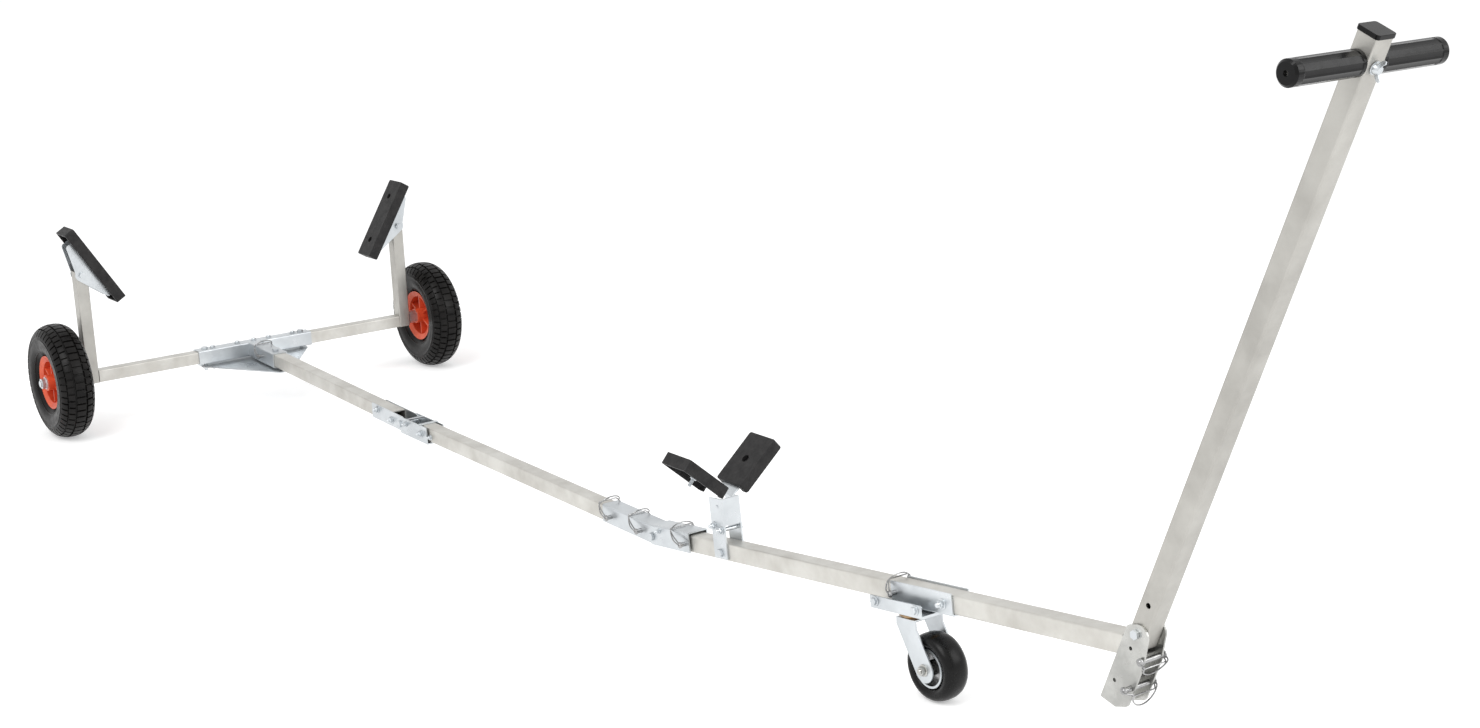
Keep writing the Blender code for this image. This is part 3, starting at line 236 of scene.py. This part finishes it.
def ramp(nodes, links, value, stops):
    made = nodes.new("ShaderNodeValToRGB")
    for element, (position, color) in zip(made.color_ramp.elements, stops):
        element.position = position
        element.color = (*color, 1)
    links.new(value, made.inputs[0])
    return made.outputs[0]


def bump(nodes, links, height, distance, shader):
    made = nodes.new("ShaderNodeBump")
    made.inputs["Strength"].default_value = GRAIN_STRENGTH
    made.inputs["Distance"].default_value = distance
    links.new(height, made.inputs["Height"])
    links.new(made.outputs[0], shader.inputs["Normal"])


def varied(name, dark, light, metallic, roughness, scale, depth, gloss=0.5, rough_span=0.1, fine=900):
    """A surface whose colour, gloss and relief vary with procedural noise.

    Scale is that of the colour's clouds, fine that of the grain, whose depth is in mm.
    """
    made, nodes, links, shader = base_material(name, metallic, roughness)
    shader.inputs["Specular IOR Level"].default_value = gloss
    vector = object_coords(nodes, links)
    cloud = noise(nodes, links, vector, scale)
    colors = ramp(nodes, links, cloud, [(0.35, dark), (0.65, light)])
    links.new(colors, shader.inputs["Base Color"])
    low = max(roughness - rough_span, 0.05)
    high = min(roughness + rough_span, 1.0)
    patch = noise(nodes, links, vector, scale * 3)
    patches = ramp(nodes, links, patch, [(0.3, (low,) * 3), (0.7, (high,) * 3)])
    links.new(patches, shader.inputs["Roughness"])
    grain = noise(nodes, links, vector, fine, 2)
    bump(nodes, links, grain, depth * mm, shader)
    return made


# Metals: dark and light colour, metallic, roughness, cloud scale, depth of the grain
TUBE = varied("tube_metal", (0.5, 0.485, 0.45), (0.62, 0.61, 0.575), 0.8, 0.42, 14, 0.03)
HANDLE_TUBE = varied("handle_metal", (0.38, 0.37, 0.345), (0.48, 0.47, 0.44), 0.85, 0.42, 9, 0.03)
PLATE = varied("plate_zinc", (0.49, 0.515, 0.535), (0.63, 0.66, 0.68), 0.9, 0.34, 9, 0.02)
BRACKET = varied("bracket_zinc", (0.36, 0.36, 0.345), (0.5, 0.5, 0.48), 0.9, 0.32, 22, 0.03)
WIRE = varied("wire_steel", (0.24, 0.24, 0.24), (0.42, 0.42, 0.42), 1.0, 0.28, 60, 0.01)
# The pads' screws are real; their near-black colour is painted shade that darkens the deep screw
# holes in the pads
SCREW_STEEL_WITH_RECESS_SHADE = varied("screw_steel_with_recess_shade", (0.04, 0.04, 0.042), (0.1, 0.1, 0.105), 0.9, 0.4, 60, 0.01)

# Rubber and plastic, and the bronze of the bushes
TYRE = varied(
    "tyre_rubber", (0.004, 0.0035, 0.0035), (0.01, 0.009, 0.0085), 0.0, 0.34, 30, 0.08, gloss=0.16
)
CASTOR_TYRE = varied(
    "castor_rubber", (0.004, 0.004, 0.004), (0.007, 0.0068, 0.0068), 0.0, 0.28, 30, 0.03, gloss=0.18
)
PAD = varied(
    "pad_rubber", (0.012, 0.0115, 0.012), (0.026, 0.025, 0.025), 0.0, 0.5, 60, 0.25, gloss=0.22
)
RIM = varied(
    "rim_plastic", (0.62, 0.07, 0.025), (0.78, 0.12, 0.045), 0.0, 0.4, 30, 0.05, gloss=0.4
)
GRIP = varied(
    "grip_plastic", (0.002, 0.002, 0.002), (0.005, 0.005, 0.0055), 0.0, 0.2, 30, 0.004,
    gloss=0.2, rough_span=0.05, fine=300,
)
BRASS = varied("race_bronze", (0.36, 0.22, 0.1), (0.55, 0.36, 0.18), 1.0, 0.4, 60, 0.02)

# The finish of the frame's nodes: by material slot, and of the nodes that differ
FINISH = {
    "galvanised_tube": TUBE,
    "zinc_plate": PLATE,
    "steel_wire": WIRE,
    "tyre_rubber": TYRE,
    "pad_rubber": PAD,
    "rim_plastic": RIM,
    "grip_plastic": GRIP,
    "bush_bronze": BRASS,
}
SPECIAL = {
    "handle_tube": HANDLE_TUBE,
    "post_left": HANDLE_TUBE,
    "post_right": HANDLE_TUBE,
    "handle_bracket": BRACKET,
}


def finish_nodes():
    for entry in frame["record"]["subparts"]:
        obj = NODES[entry["node"]]
        obj.data.materials.clear()
        obj.data.materials.append(SPECIAL.get(entry["node"], FINISH[entry["material_slot"]]))


finish_nodes()


# Building blocks of the detail pieces; all their sizes are in mm

# The faces that fastenings stand on
RIGHT_SIDE = Matrix.Rotation(math.radians(90), 4, "X")
LEFT_SIDE = Matrix.Rotation(math.radians(-90), 4, "X")
BELOW = Matrix.Rotation(math.pi, 4, "X")
ABOVE = Matrix.Identity(4)
AHEAD = Matrix.Rotation(math.radians(90), 4, "Y")


def at(base, x, y, z, facing=ABOVE):
    """A place on a member: its Z points away from the surface it stands on."""
    return base @ Matrix.Translation((x * mm, y * mm, z * mm)) @ facing


def loft(work, place, rings, closed=False):
    """Faces between rings of points in metres, capped at both ends or closed to a loop."""
    rows = []
    for ring in rings:
        rows.append([work.verts.new(place @ Vector(point)) for point in ring])
    pairs = list(zip(rows, rows[1:]))
    if closed:
        pairs.append((rows[-1], rows[0]))
    count = len(rows[0])
    for lower, upper in pairs:
        for index in range(count):
            following = (index + 1) % count
            work.faces.new((lower[index], lower[following], upper[following], upper[index]))
    if not closed:
        work.faces.new(list(reversed(rows[0])))
        work.faces.new(rows[-1])


def ngon(radius, height, count):
    points = []
    for index in range(count):
        angle = 2 * math.pi * index / count
        points.append((radius * math.cos(angle) * mm, radius * math.sin(angle) * mm, height * mm))
    return points


def turned(work, place, profile, count=20):
    """A solid of revolution about the place's Z, from (radius, height) pairs."""
    loft(work, place, [ngon(radius, height, count) for radius, height in profile])


def slab(work, place, outline, low, high, edge=0.6):
    """A flat outline with softened edges, from low to high."""
    middle = Vector((sum(x for x, y in outline), sum(y for x, y in outline))) / len(outline)
    inner = []
    for x, y in outline:
        point = Vector((x, y))
        inner.append(point + (middle - point).normalized() * edge)
    rings = [
        [(x * mm, y * mm, low * mm) for x, y in inner],
        [(x * mm, y * mm, (low + edge) * mm) for x, y in outline],
        [(x * mm, y * mm, (high - edge) * mm) for x, y in outline],
        [(x * mm, y * mm, high * mm) for x, y in inner],
    ]
    loft(work, place, rings)


WASHER_THICKNESS = 1.4
WASHER_SPREAD = 1.3
HEX_SIDES = 6
PAN_HEAD = [(5.6, 0), (5.8, 0.8), (4.8, 1.6), (2.2, 1.8)]
PAN_SIDES = 18
SMALL_SIDES = 14


def washer(work, place, radius):
    top = WASHER_THICKNESS
    turned(work, place, [(radius - 0.4, 0), (radius, 0.4), (radius, top - 0.3), (radius - 0.5, top)])


def hexagon(work, place, profile):
    loft(work, place, [ngon(radius, height, HEX_SIDES) for radius, height in profile])


def bolt_head(work, place, radius, height=4.6):
    """A hexagon head on its washer."""
    washer(work, place, radius * WASHER_SPREAD)
    start = WASHER_THICKNESS
    profile = [(radius * 0.95, start), (radius, start + 0.4)]
    profile += [(radius, start + height - 1), (radius * 0.86, start + height)]
    hexagon(work, place, profile)


def nut_and_tip(work, place, radius, tip, shank=4.0):
    """A nut on its washer, and the threaded end of the bolt, one thread to each mm."""
    washer(work, place, radius * WASHER_SPREAD)
    height = radius * 0.85
    profile = [(radius * 0.88, WASHER_THICKNESS), (radius, 2.2)]
    profile += [(radius, 0.6 + height), (radius * 0.88, WASHER_THICKNESS + height)]
    hexagon(work, place, profile)
    thread = []
    base = 1.2 + height
    for index in range(int(tip)):
        thread += [(shank, base + index), (shank - 0.45, base + index + 0.5)]
    thread.append((shank - 0.8, base + tip))
    turned(work, place, thread, 12)


WIRE_RADIUS = 1.15
WIRE_SIDES = 8
CURVE_STEPS = 5


def smooth_path(points):
    """A curve through all the points."""
    points = [Vector(point) for point in points]
    padded = [points[0] * 2 - points[1]] + points + [points[-1] * 2 - points[-2]]
    path = []
    for index in range(1, len(padded) - 2):
        a, b, c, d = padded[index - 1 : index + 3]
        for step in range(CURVE_STEPS):
            t = step / CURVE_STEPS
            square = (2 * a - 5 * b + 4 * c - d) * t * t
            cube = (3 * b - a - 3 * c + d) * t**3
            path.append(0.5 * (2 * b + (c - a) * t + square + cube))
    path.append(points[-1])
    return path


def wire(work, base, points):
    """Round wire along a smooth curve through the points."""
    path = smooth_path(points)
    rings = []
    normal = None
    for index, point in enumerate(path):
        before = path[max(index - 1, 0)]
        after = path[min(index + 1, len(path) - 1)]
        along = (after - before).normalized()
        if normal is None:
            normal = along.orthogonal().normalized()
        normal = (normal - along * normal.dot(along)).normalized()
        across = along.cross(normal)
        ring = []
        for side in range(WIRE_SIDES):
            angle = 2 * math.pi * side / WIRE_SIDES
            outward = normal * math.cos(angle) + across * math.sin(angle)
            ring.append((point + outward * WIRE_RADIUS) * mm)
        rings.append(ring)
    loft(work, base, rings)


def piece(name, work, material, body, sharp=35):
    """Turn the work into a piece that rides a body; edges over the sharp angle stay crisp."""
    bmesh.ops.recalc_face_normals(work, faces=work.faces)
    mesh = bpy.data.meshes.new(name)
    work.to_mesh(mesh)
    work.free()
    mesh.polygons.foreach_set("use_smooth", [True] * len(mesh.polygons))
    mesh.set_sharp_from_angle(angle=math.radians(sharp))
    mesh.materials.append(material)
    obj = bpy.data.objects.new(name, mesh)
    bpy.context.scene.collection.objects.link(obj)
    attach(obj, body)
    return obj


# Tyres with moulded tread

WHEEL_SIDE = 467
WHEEL_HEIGHT = 130
# The section's middle radius, its reach to the tread and to the bead, and its half width
SECTION_MIDDLE = 93
SECTION_OUTER = 37
SECTION_INNER = 38
SECTION_HALF = 40.5
SECTION_POWER = 0.88
SECTION_SWEEP = math.radians(143)
BEAD_RADIUS = 57.4
BEAD_HALF = 21
TREAD_PITCHES = 48
TREAD_DEPTH = 3.8
TREAD_EDGE = 0.5
SHOULDER_DEPTH = 1.2
SIDE_RING_DEPTH = 0.3
ZIGZAG = 0.014
# The gap between the blocks of a row, in pitches
GAP_START = 0.04
GAP_END = 0.21
# Rows of tread blocks: from, to, and how far each row is turned on, in pitches
BLOCK_ROWS = ((0.0, 0.082, 0.0), (0.123, 0.268, 0.5), (0.303, 0.49, 0.0))
SIDE_RINGS = ((0.555, 0.565), (0.85, 0.87))
# Where the mesh has its edges: across half the section, and along one pitch
ROW_EDGES = [0.0, 0.04, 0.082, 0.088, 0.117, 0.123, 0.17, 0.22, 0.268, 0.274, 0.297]
ROW_EDGES += [0.303, 0.35, 0.40, 0.45, 0.49, 0.505, 0.54, 0.555, 0.565, 0.58, 0.63]
ROW_EDGES += [0.69, 0.75, 0.81, 0.84, 0.85, 0.87, 0.88, 0.92, 0.96, 1.0]
COLUMN_EDGES = [0.0, 0.05, 0.2, 0.25, 0.5, 0.55, 0.7, 0.75]


def tyre_section(t):
    """Radius and height on the tyre's outer section; t runs from bead to bead, -1 to 1."""
    cosine = math.cos(t * SECTION_SWEEP)
    sine = math.sin(t * SECTION_SWEEP)
    reach = SECTION_OUTER if cosine > 0 else SECTION_INNER
    radius = SECTION_MIDDLE + reach * math.copysign(abs(cosine) ** SECTION_POWER, cosine)
    height = SECTION_HALF * math.copysign(abs(sine) ** SECTION_POWER, sine)
    return Vector((radius, height))


def tread_drop(t, turn):
    """How deep the tyre's surface is cut at this place."""
    across = abs(t)
    for low, high, phase in BLOCK_ROWS:
        if low <= across <= high:
            within = (turn + phase) % 1.0
            return TREAD_DEPTH if GAP_START < within < GAP_END else 0.0
    for low, high in SIDE_RINGS:
        if low <= across <= high:
            return SIDE_RING_DEPTH
    return TREAD_DEPTH if across < TREAD_EDGE else SHOULDER_DEPTH


def tread_point(t, turn):
    """Radius and height of the treaded surface, with the zigzag of the block edges."""
    wave = max(0.0, 1 - abs(abs(t) - 0.19) / 0.2)
    zigzag = ZIGZAG * math.sin(2 * math.pi * turn) * wave
    shifted = t + math.copysign(zigzag, t)
    slope = tyre_section(shifted + 0.004) - tyre_section(shifted - 0.004)
    outward = Vector((slope.y, -slope.x)).normalized()
    return tyre_section(shifted) - outward * tread_drop(t, turn)


def build_tyre(side, tag):
    center = Matrix.Translation((-ORIGIN_X, side * WHEEL_SIDE * mm, WHEEL_HEIGHT * mm))
    rows = [-t for t in reversed(ROW_EDGES[1:])] + ROW_EDGES
    rings = []
    for pitch in range(TREAD_PITCHES):
        for edge in COLUMN_EDGES:
            turn = pitch + edge
            angle = 2 * math.pi * turn / TREAD_PITCHES
            cosine = math.cos(angle)
            sine = math.sin(angle)
            section = [tread_point(t, turn) for t in rows]
            section += [(BEAD_RADIUS, BEAD_HALF), (BEAD_RADIUS, -BEAD_HALF)]
            rings.append([(r * cosine * mm, r * sine * mm, h * mm) for r, h in section])
    work = bmesh.new()
    loft(work, center @ RIGHT_SIDE, rings, closed=True)
    obj = piece(f"tyre_moulding_{tag}", work, TYRE, f"wheel_{tag}", 28)
    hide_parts(f"tyre_{tag}")


# Quick-release pins with their spring wires

PIN_RADIUS = 4.0
ARCH_STEPS = 8


def ring_clip(name, node, body, base, pin, half, straight, foot, apex, near=13.0, far=8.0):
    """A pin across the member with its spring wire.

    Straight, foot and apex are (x, z) steps from the pin: of the wire's straight
    strand, of the arched strand's ends and of the arch's top. Near and far say how
    far the pin stands out on the right and on the left side.
    """
    work = bmesh.new()
    place = at(base, pin[0], 0, pin[1])
    profile = [(PIN_RADIUS - 1, -half - near), (PIN_RADIUS, -half - near + 1)]
    profile += [(PIN_RADIUS, half + far - 1), (PIN_RADIUS - 1, half + far)]
    turned(work, place @ LEFT_SIDE, profile, SMALL_SIDES)
    collar = [(4.6, 0), (5.6, 0.6), (5.6, 2.6), (4.6, 3.2)]
    for end, facing in ((-half - near + 4, RIGHT_SIDE), (half + far - 3, LEFT_SIDE)):
        turned(work, at(place, 0, end, 0, facing), collar, SMALL_SIDES)
    low = -half - near + 3
    high = half + far - 2
    x, z = straight
    points = [(0, low, 0), (x * 0.5, low + 2, z * 0.45), (x * 0.9, -half - 3.5, z * 0.8)]
    points += [(x, -half - 0.5, z * 0.98), (x, -half + 4, z), (x, 0, z)]
    points += [(x, half - 4, z), (x, half + 0.5, z * 0.98)]
    points += [(x * 0.9, half + 3.5, z * 0.8), (x * 0.5, high - 1, z * 0.45), (0, high, 0)]
    wire(work, place, points)
    x, z = foot
    low -= 3
    high += 3
    reach = half + 4
    points = [(0, low, 0), (x * 0.5, low + 1, z * 0.4)]
    for index in range(ARCH_STEPS + 1):
        angle = math.pi * index / ARCH_STEPS
        rise = math.sin(angle)
        y = -reach * math.cos(angle)
        points.append((x + (apex[0] - x) * rise, y, z + (apex[1] - z) * rise))
    points += [(x * 0.5, high - 1, z * 0.4), (0, high, 0)]
    wire(work, place, points)
    obj = piece(name, work, WIRE, body)
    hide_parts(node)


def build_ring_clips():
    """Every pin stands where its node stands."""
    fold = Vector((FOLD_B[0] - FOLD_A[0], FOLD_B[1] - FOLD_A[1])).length / mm
    lean = ((-37, 19.6), (-33, 15), (-22, 30))
    channel = (CHANNEL_HALF, *lean)
    ring_clip("ring_clip_tee", "tee_ring_pin", "root", REAR_FRAME, (92, 0), *channel)
    middle = ("middle_beam", MIDDLE_FRAME)
    ring_clip("ring_clip_1", "fold_b_ring_pin_1", *middle, (fold - 138, 0), *channel)
    ring_clip("ring_clip_2", "fold_b_ring_pin_2", *middle, (fold - 40, 0), *channel)
    front = ("front_beam", FRONT_FRAME)
    lean = ((-39, 22.4), (-35, 18), (-34, 30))
    ring_clip("ring_clip_3", "fold_b_ring_pin_3", *front, (103, 0), NESTED_HALF, *lean)
    lean = ((-10, 19.8), (-14, 13), (-8, 25))
    ring_clip("ring_clip_castor", "castor_ring_pin", *front, (669, 0), CHANNEL_HALF, *lean)
    foot = ("front_beam", HANDLE_FRAME)
    upper = (BRACKET_HALF, (8, -6), (10, -2), (8, -20), 6, 6)
    ring_clip("ring_clip_handle_1", "handle_ring_pin_1", *foot, (24, 30), *upper)
    lower = (BRACKET_HALF, (9, -6), (10, -2), (13, -24), 16, 8)
    ring_clip("ring_clip_handle_2", "handle_ring_pin_2", *foot, (23, -18), *lower)


# Bolts and nuts


def bolts_across(work, base, places, half, radius=6.2):
    """Bolts across the member, with their nuts on the right side."""
    for x, z in places:
        nut_and_tip(work, at(base, x, -half, z, RIGHT_SIDE), radius, 5.0, radius * 0.62)
        bolt_head(work, at(base, x, half, z, LEFT_SIDE), radius)


SLEEVE_TOP = 16.8
GUSSET_UNDERSIDE = -23.7


def build_tee_bolts():
    work = bmesh.new()
    for y in (-102, -40, 2, 40, 102):
        bolt_head(work, at(REAR_FRAME, 0, y, SLEEVE_TOP), 5.4, 3.8)
        nut_and_tip(work, at(REAR_FRAME, 0, y, GUSSET_UNDERSIDE, BELOW), 5.4, 5.0, 3.2)
    bolt_head(work, at(REAR_FRAME, 30, 10, 17.8), 3.4, 3.0)
    piece("tee_fasteners", work, PLATE, "root")


def build_fold_bolts():
    """Bolts of both folding joints, and the strap across the first one's front channel."""
    work = bmesh.new()
    bolts_across(work, REAR_FOLD_FRAME, [(-110, 5), (-45, -3)], CHANNEL_HALF)
    piece("fold_a_rear_bolts", work, PLATE, "root")
    work = bmesh.new()
    bolts_across(work, MIDDLE_FRAME, [(25, 4.5)], NESTED_HALF, 4.6)
    bolts_across(work, MIDDLE_FRAME, [(91, -2)], NESTED_HALF)
    bolts_across(work, MIDDLE_FRAME, [(123, -4)], TUBE_HALF, 4.6)
    strap = [(84, -20.4), (92, -20.4), (92, 20.4), (84, 20.4)]
    slab(work, MIDDLE_FRAME, strap, 15.2, 17.6)
    piece("fold_a_front_bolts", work, PLATE, "middle_beam")
    work = bmesh.new()
    bolts_across(work, FRONT_FRAME, [(23, 12)], NESTED_HALF, 3.8)
    piece("fold_b_stop_bolt", work, PLATE, "front_beam")


def pad_frame(place, along, face):
    """A pad's frame at the place: X along the pad, Z out of its broad face."""
    axes = Matrix((along, face.cross(along), face)).transposed().to_4x4()
    return Matrix.Translation(place) @ axes


VEE_X = 1937
VEE_HALF = 10.5
VEE_HEIGHT = 219.5
VEE_TILT = math.radians(41)
VEE_PAD_MIDDLE = 50
VEE_SCREW_SEAT = -8.2
VEE_NUT_SEAT = -11.4


def build_keel_hardware():
    """Bolts with their spacer tubes, two rivets, and the screws and nuts of the two pads."""
    work = bmesh.new()
    spacer = [(3.6, 0), (3.6, 2 * BRACKET_HALF)]
    for x, z in ((197, 44), (216, 38)):
        bolts_across(work, FRONT_FRAME, [(x, z)], BRACKET_HALF, 5.8)
        turned(work, at(FRONT_FRAME, x, -BRACKET_HALF, z, LEFT_SIDE), spacer, SMALL_SIDES)
    rivet = [(3.4, 0), (3.2, 0.8), (1.8, 1.6)]
    for y, facing in ((-BRACKET_HALF, RIGHT_SIDE), (BRACKET_HALF, LEFT_SIDE)):
        turned(work, at(FRONT_FRAME, 211, y, 78, facing), rivet, SMALL_SIDES)
    piece("keel_support_bolts", work, PLATE, "front_beam")
    nuts = bmesh.new()
    heads = bmesh.new()
    for side in (1, -1):
        outward = Vector((0, side * math.cos(VEE_TILT), math.sin(VEE_TILT)))
        face = Vector((0, -side * math.sin(VEE_TILT), math.cos(VEE_TILT)))
        root = Vector((VEE_X * mm - ORIGIN_X, side * VEE_HALF * mm, VEE_HEIGHT * mm))
        pad = pad_frame(root + outward * VEE_PAD_MIDDLE * mm, outward, face)
        turned(heads, at(pad, 0, 0, VEE_SCREW_SEAT), PAN_HEAD, PAN_SIDES)
        nut_and_tip(nuts, at(pad, 0, 0, VEE_NUT_SEAT, BELOW), 6.6, 14.0, 3.2)
    piece("keel_pad_nuts", nuts, PLATE, "front_beam")
    # Screw heads deep in the pads' holes, near black as painted shade of the holes
    piece("keel_pad_screws", heads, SCREW_STEEL_WITH_RECESS_SHADE, "front_beam")


BUNK_SIDE = 397
BUNK_HEIGHT = 365
BUNK_TILT = math.radians(58.6)
BUNK_SCREW_STEP = 58
BUNK_SCREW_SEAT = 37.8
BUNK_NUT_SEAT = 35.2


def bunk_frame(side):
    """At the bunk's pivot: X down the pad to its inner end, Z towards the hull."""
    down = Vector((0, -side * math.cos(BUNK_TILT), -math.sin(BUNK_TILT)))
    face = Vector((0, -side * math.sin(BUNK_TILT), math.cos(BUNK_TILT)))
    pivot = (-ORIGIN_X, side * BUNK_SIDE * mm, BUNK_HEIGHT * mm)
    return pad_frame(pivot, down, face)


def build_bunk_hardware(side, tag):
    base = bunk_frame(side)
    work = bmesh.new()
    for x in (-BUNK_SCREW_STEP, BUNK_SCREW_STEP):
        turned(work, at(base, x, 0, BUNK_SCREW_SEAT), PAN_HEAD, PAN_SIDES)
        nut_and_tip(work, at(base, x, 0, BUNK_NUT_SEAT, BELOW), 5.4, 4.0, 3.0)
    # Screw heads deep in the pad's holes, near black as painted shade of the holes
    piece(f"bunk_pad_screws_{tag}", work, SCREW_STEEL_WITH_RECESS_SHADE, f"bunk_{tag}")


# Castor

CASTOR_FRAME = FRONT_FRAME @ Matrix.Translation((699 * mm, 0, 0))
SWIVEL_FRAME = CASTOR_FRAME @ Matrix.Translation((0, 0, -25.5 * mm))
CASTOR_HUB = Matrix.Translation((2479 * mm - ORIGIN_X, 0, 53 * mm))
# The castor plate's flanges: their bolt heads' and nuts' seats and the bolts' height
FLANGE_OUTSIDE = 38
FLANGE_INSIDE = 35
FLANGE_BOLT_HEIGHT = -12.5
FORK_HALF = 27.5
FORK_INNER = 24.5
FORK_END_RADIUS = 20
FORK_END_STEPS = 14
CORE_FACE = 17
CASTOR_SIDES = 64
RING_SIDES = 48
# Radius and half width
CASTOR_TYRE_SECTION = [(31.4, 15), (34, 18.5), (38, 21), (43, 21.6)]
CASTOR_TYRE_SECTION += [(47.5, 19), (50.8, 14), (52.5, 8), (53, 2)]
CORE_RING = [(30.8, 0.1), (30.4, 1.4), (27, 1.4), (26.6, 0.1)]


def build_castor_bolts():
    work = bmesh.new()
    for x in (-56, 38):
        for side, facing, back in ((-1, RIGHT_SIDE, LEFT_SIDE), (1, LEFT_SIDE, RIGHT_SIDE)):
            outside = at(CASTOR_FRAME, x, side * FLANGE_OUTSIDE, FLANGE_BOLT_HEIGHT, facing)
            inside = at(CASTOR_FRAME, x, side * FLANGE_INSIDE, FLANGE_BOLT_HEIGHT, back)
            bolt_head(work, outside, 6.2)
            nut_and_tip(work, inside, 5.2, 4.0, 3.2)
    bolts_across(work, CASTOR_FRAME, [(78, -1)], CHANNEL_HALF, 6.4)
    piece("castor_mount_bolts", work, PLATE, "front_beam")


def build_castor_fork():
    """Bent plate fork with its axle bolt."""
    center = (SWIVEL_FRAME.inverted() @ CASTOR_HUB.translation) / mm
    cheek = [(-22, -8.3), (-23, -19)]
    for index in range(FORK_END_STEPS + 1):
        angle = math.radians(200 + 190 * index / FORK_END_STEPS)
        x = center.x + FORK_END_RADIUS * math.cos(angle)
        cheek.append((x, center.z + FORK_END_RADIUS * math.sin(angle)))
    cheek += [(22, -22), (22, -8.3)]
    work = bmesh.new()
    for low, high in ((FORK_INNER, FORK_HALF), (-FORK_HALF, -FORK_INNER)):
        slab(work, SWIVEL_FRAME @ RIGHT_SIDE, cheek, low, high, 0.4)
    crown = [(-22, -FORK_INNER), (22, -FORK_INNER), (22, FORK_INNER), (-22, FORK_INNER)]
    slab(work, SWIVEL_FRAME, crown, -11.3, -8.3, 0.4)
    obj = piece("castor_fork_plate", work, PLATE, "castor_fork")
    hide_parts("castor_fork")
    work = bmesh.new()
    turned(work, CASTOR_HUB @ RIGHT_SIDE, [(4, -FORK_HALF), (4, FORK_HALF)], 16)
    nut_and_tip(work, at(CASTOR_HUB, 0, -FORK_HALF, 0, RIGHT_SIDE), 7.4, 3.0)
    bolt_head(work, at(CASTOR_HUB, 0, FORK_HALF, 0, LEFT_SIDE), 7.4)
    obj = piece("castor_axle_bolt", work, BRACKET, "castor_fork")
    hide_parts("castor_axle")


def build_castor_wheel():
    """Crowned tyre, and a raised ring on each face of the core."""
    section = list(CASTOR_TYRE_SECTION)
    section += [(radius, -height) for radius, height in reversed(CASTOR_TYRE_SECTION)]
    rings = [ngon(radius, height, CASTOR_SIDES) for radius, height in section]
    work = bmesh.new()
    loft(work, CASTOR_HUB @ RIGHT_SIDE, rings, closed=True)
    obj = piece("castor_tyre_moulding", work, CASTOR_TYRE, "castor_wheel", 60)
    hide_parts("castor_tyre")
    rings = [ngon(radius, height, RING_SIDES) for radius, height in CORE_RING]
    work = bmesh.new()
    for y, facing in ((-CORE_FACE, RIGHT_SIDE), (CORE_FACE, LEFT_SIDE)):
        loft(work, at(CASTOR_HUB, 0, y, 0, facing), rings, closed=True)
    piece("castor_wheel_rings", work, PLATE, "castor_wheel")


# Handle

GRIP_HEIGHT = 903
WEB_BACK = 12
WEB_FRONT = 15
WEB_HALF = 15.3
WEB_LOW = -54
WEB_HIGH = 30.6


def build_handle_front():
    """Front web that closes the handle bracket below the handle's foot."""
    work = bmesh.new()
    outline = [(WEB_BACK, -WEB_HALF), (WEB_FRONT, -WEB_HALF)]
    outline += [(WEB_FRONT, WEB_HALF), (WEB_BACK, WEB_HALF)]
    slab(work, HANDLE_FRAME, outline, WEB_LOW, WEB_HIGH, 0.3)
    piece("handle_bracket_front", work, BRACKET, "front_beam")


def build_handle_hardware():
    """Wing nut that holds the grips' cross rod."""
    work = bmesh.new()
    wing = at(HANDLE_FRAME, 15.3, 0, GRIP_HEIGHT, AHEAD)
    washer(work, wing, 8.5)
    turned(work, wing, [(7.2, 1.4), (7.0, 4.4), (4.8, 8.5), (3.2, 9)], 16)
    outline = [(5, 2.5), (9, 4), (13, 8), (13.5, 12), (10, 12.5), (5, 8)]
    for turn in (0, math.pi):
        blade = wing @ Matrix.Rotation(turn, 4, "Z") @ RIGHT_SIDE
        slab(work, blade, outline, -1.2, 1.2, 0.5)
    piece("grip_wing_nut", work, PLATE, "handle")


def build_details():
    for side, tag in ((1, "left"), (-1, "right")):
        build_tyre(side, tag)
        build_bunk_hardware(side, tag)
    build_ring_clips()
    build_tee_bolts()
    build_fold_bolts()
    build_keel_hardware()
    build_castor_bolts()
    build_castor_fork()
    build_castor_wheel()
    build_handle_front()
    build_handle_hardware()


build_details()

note_size()
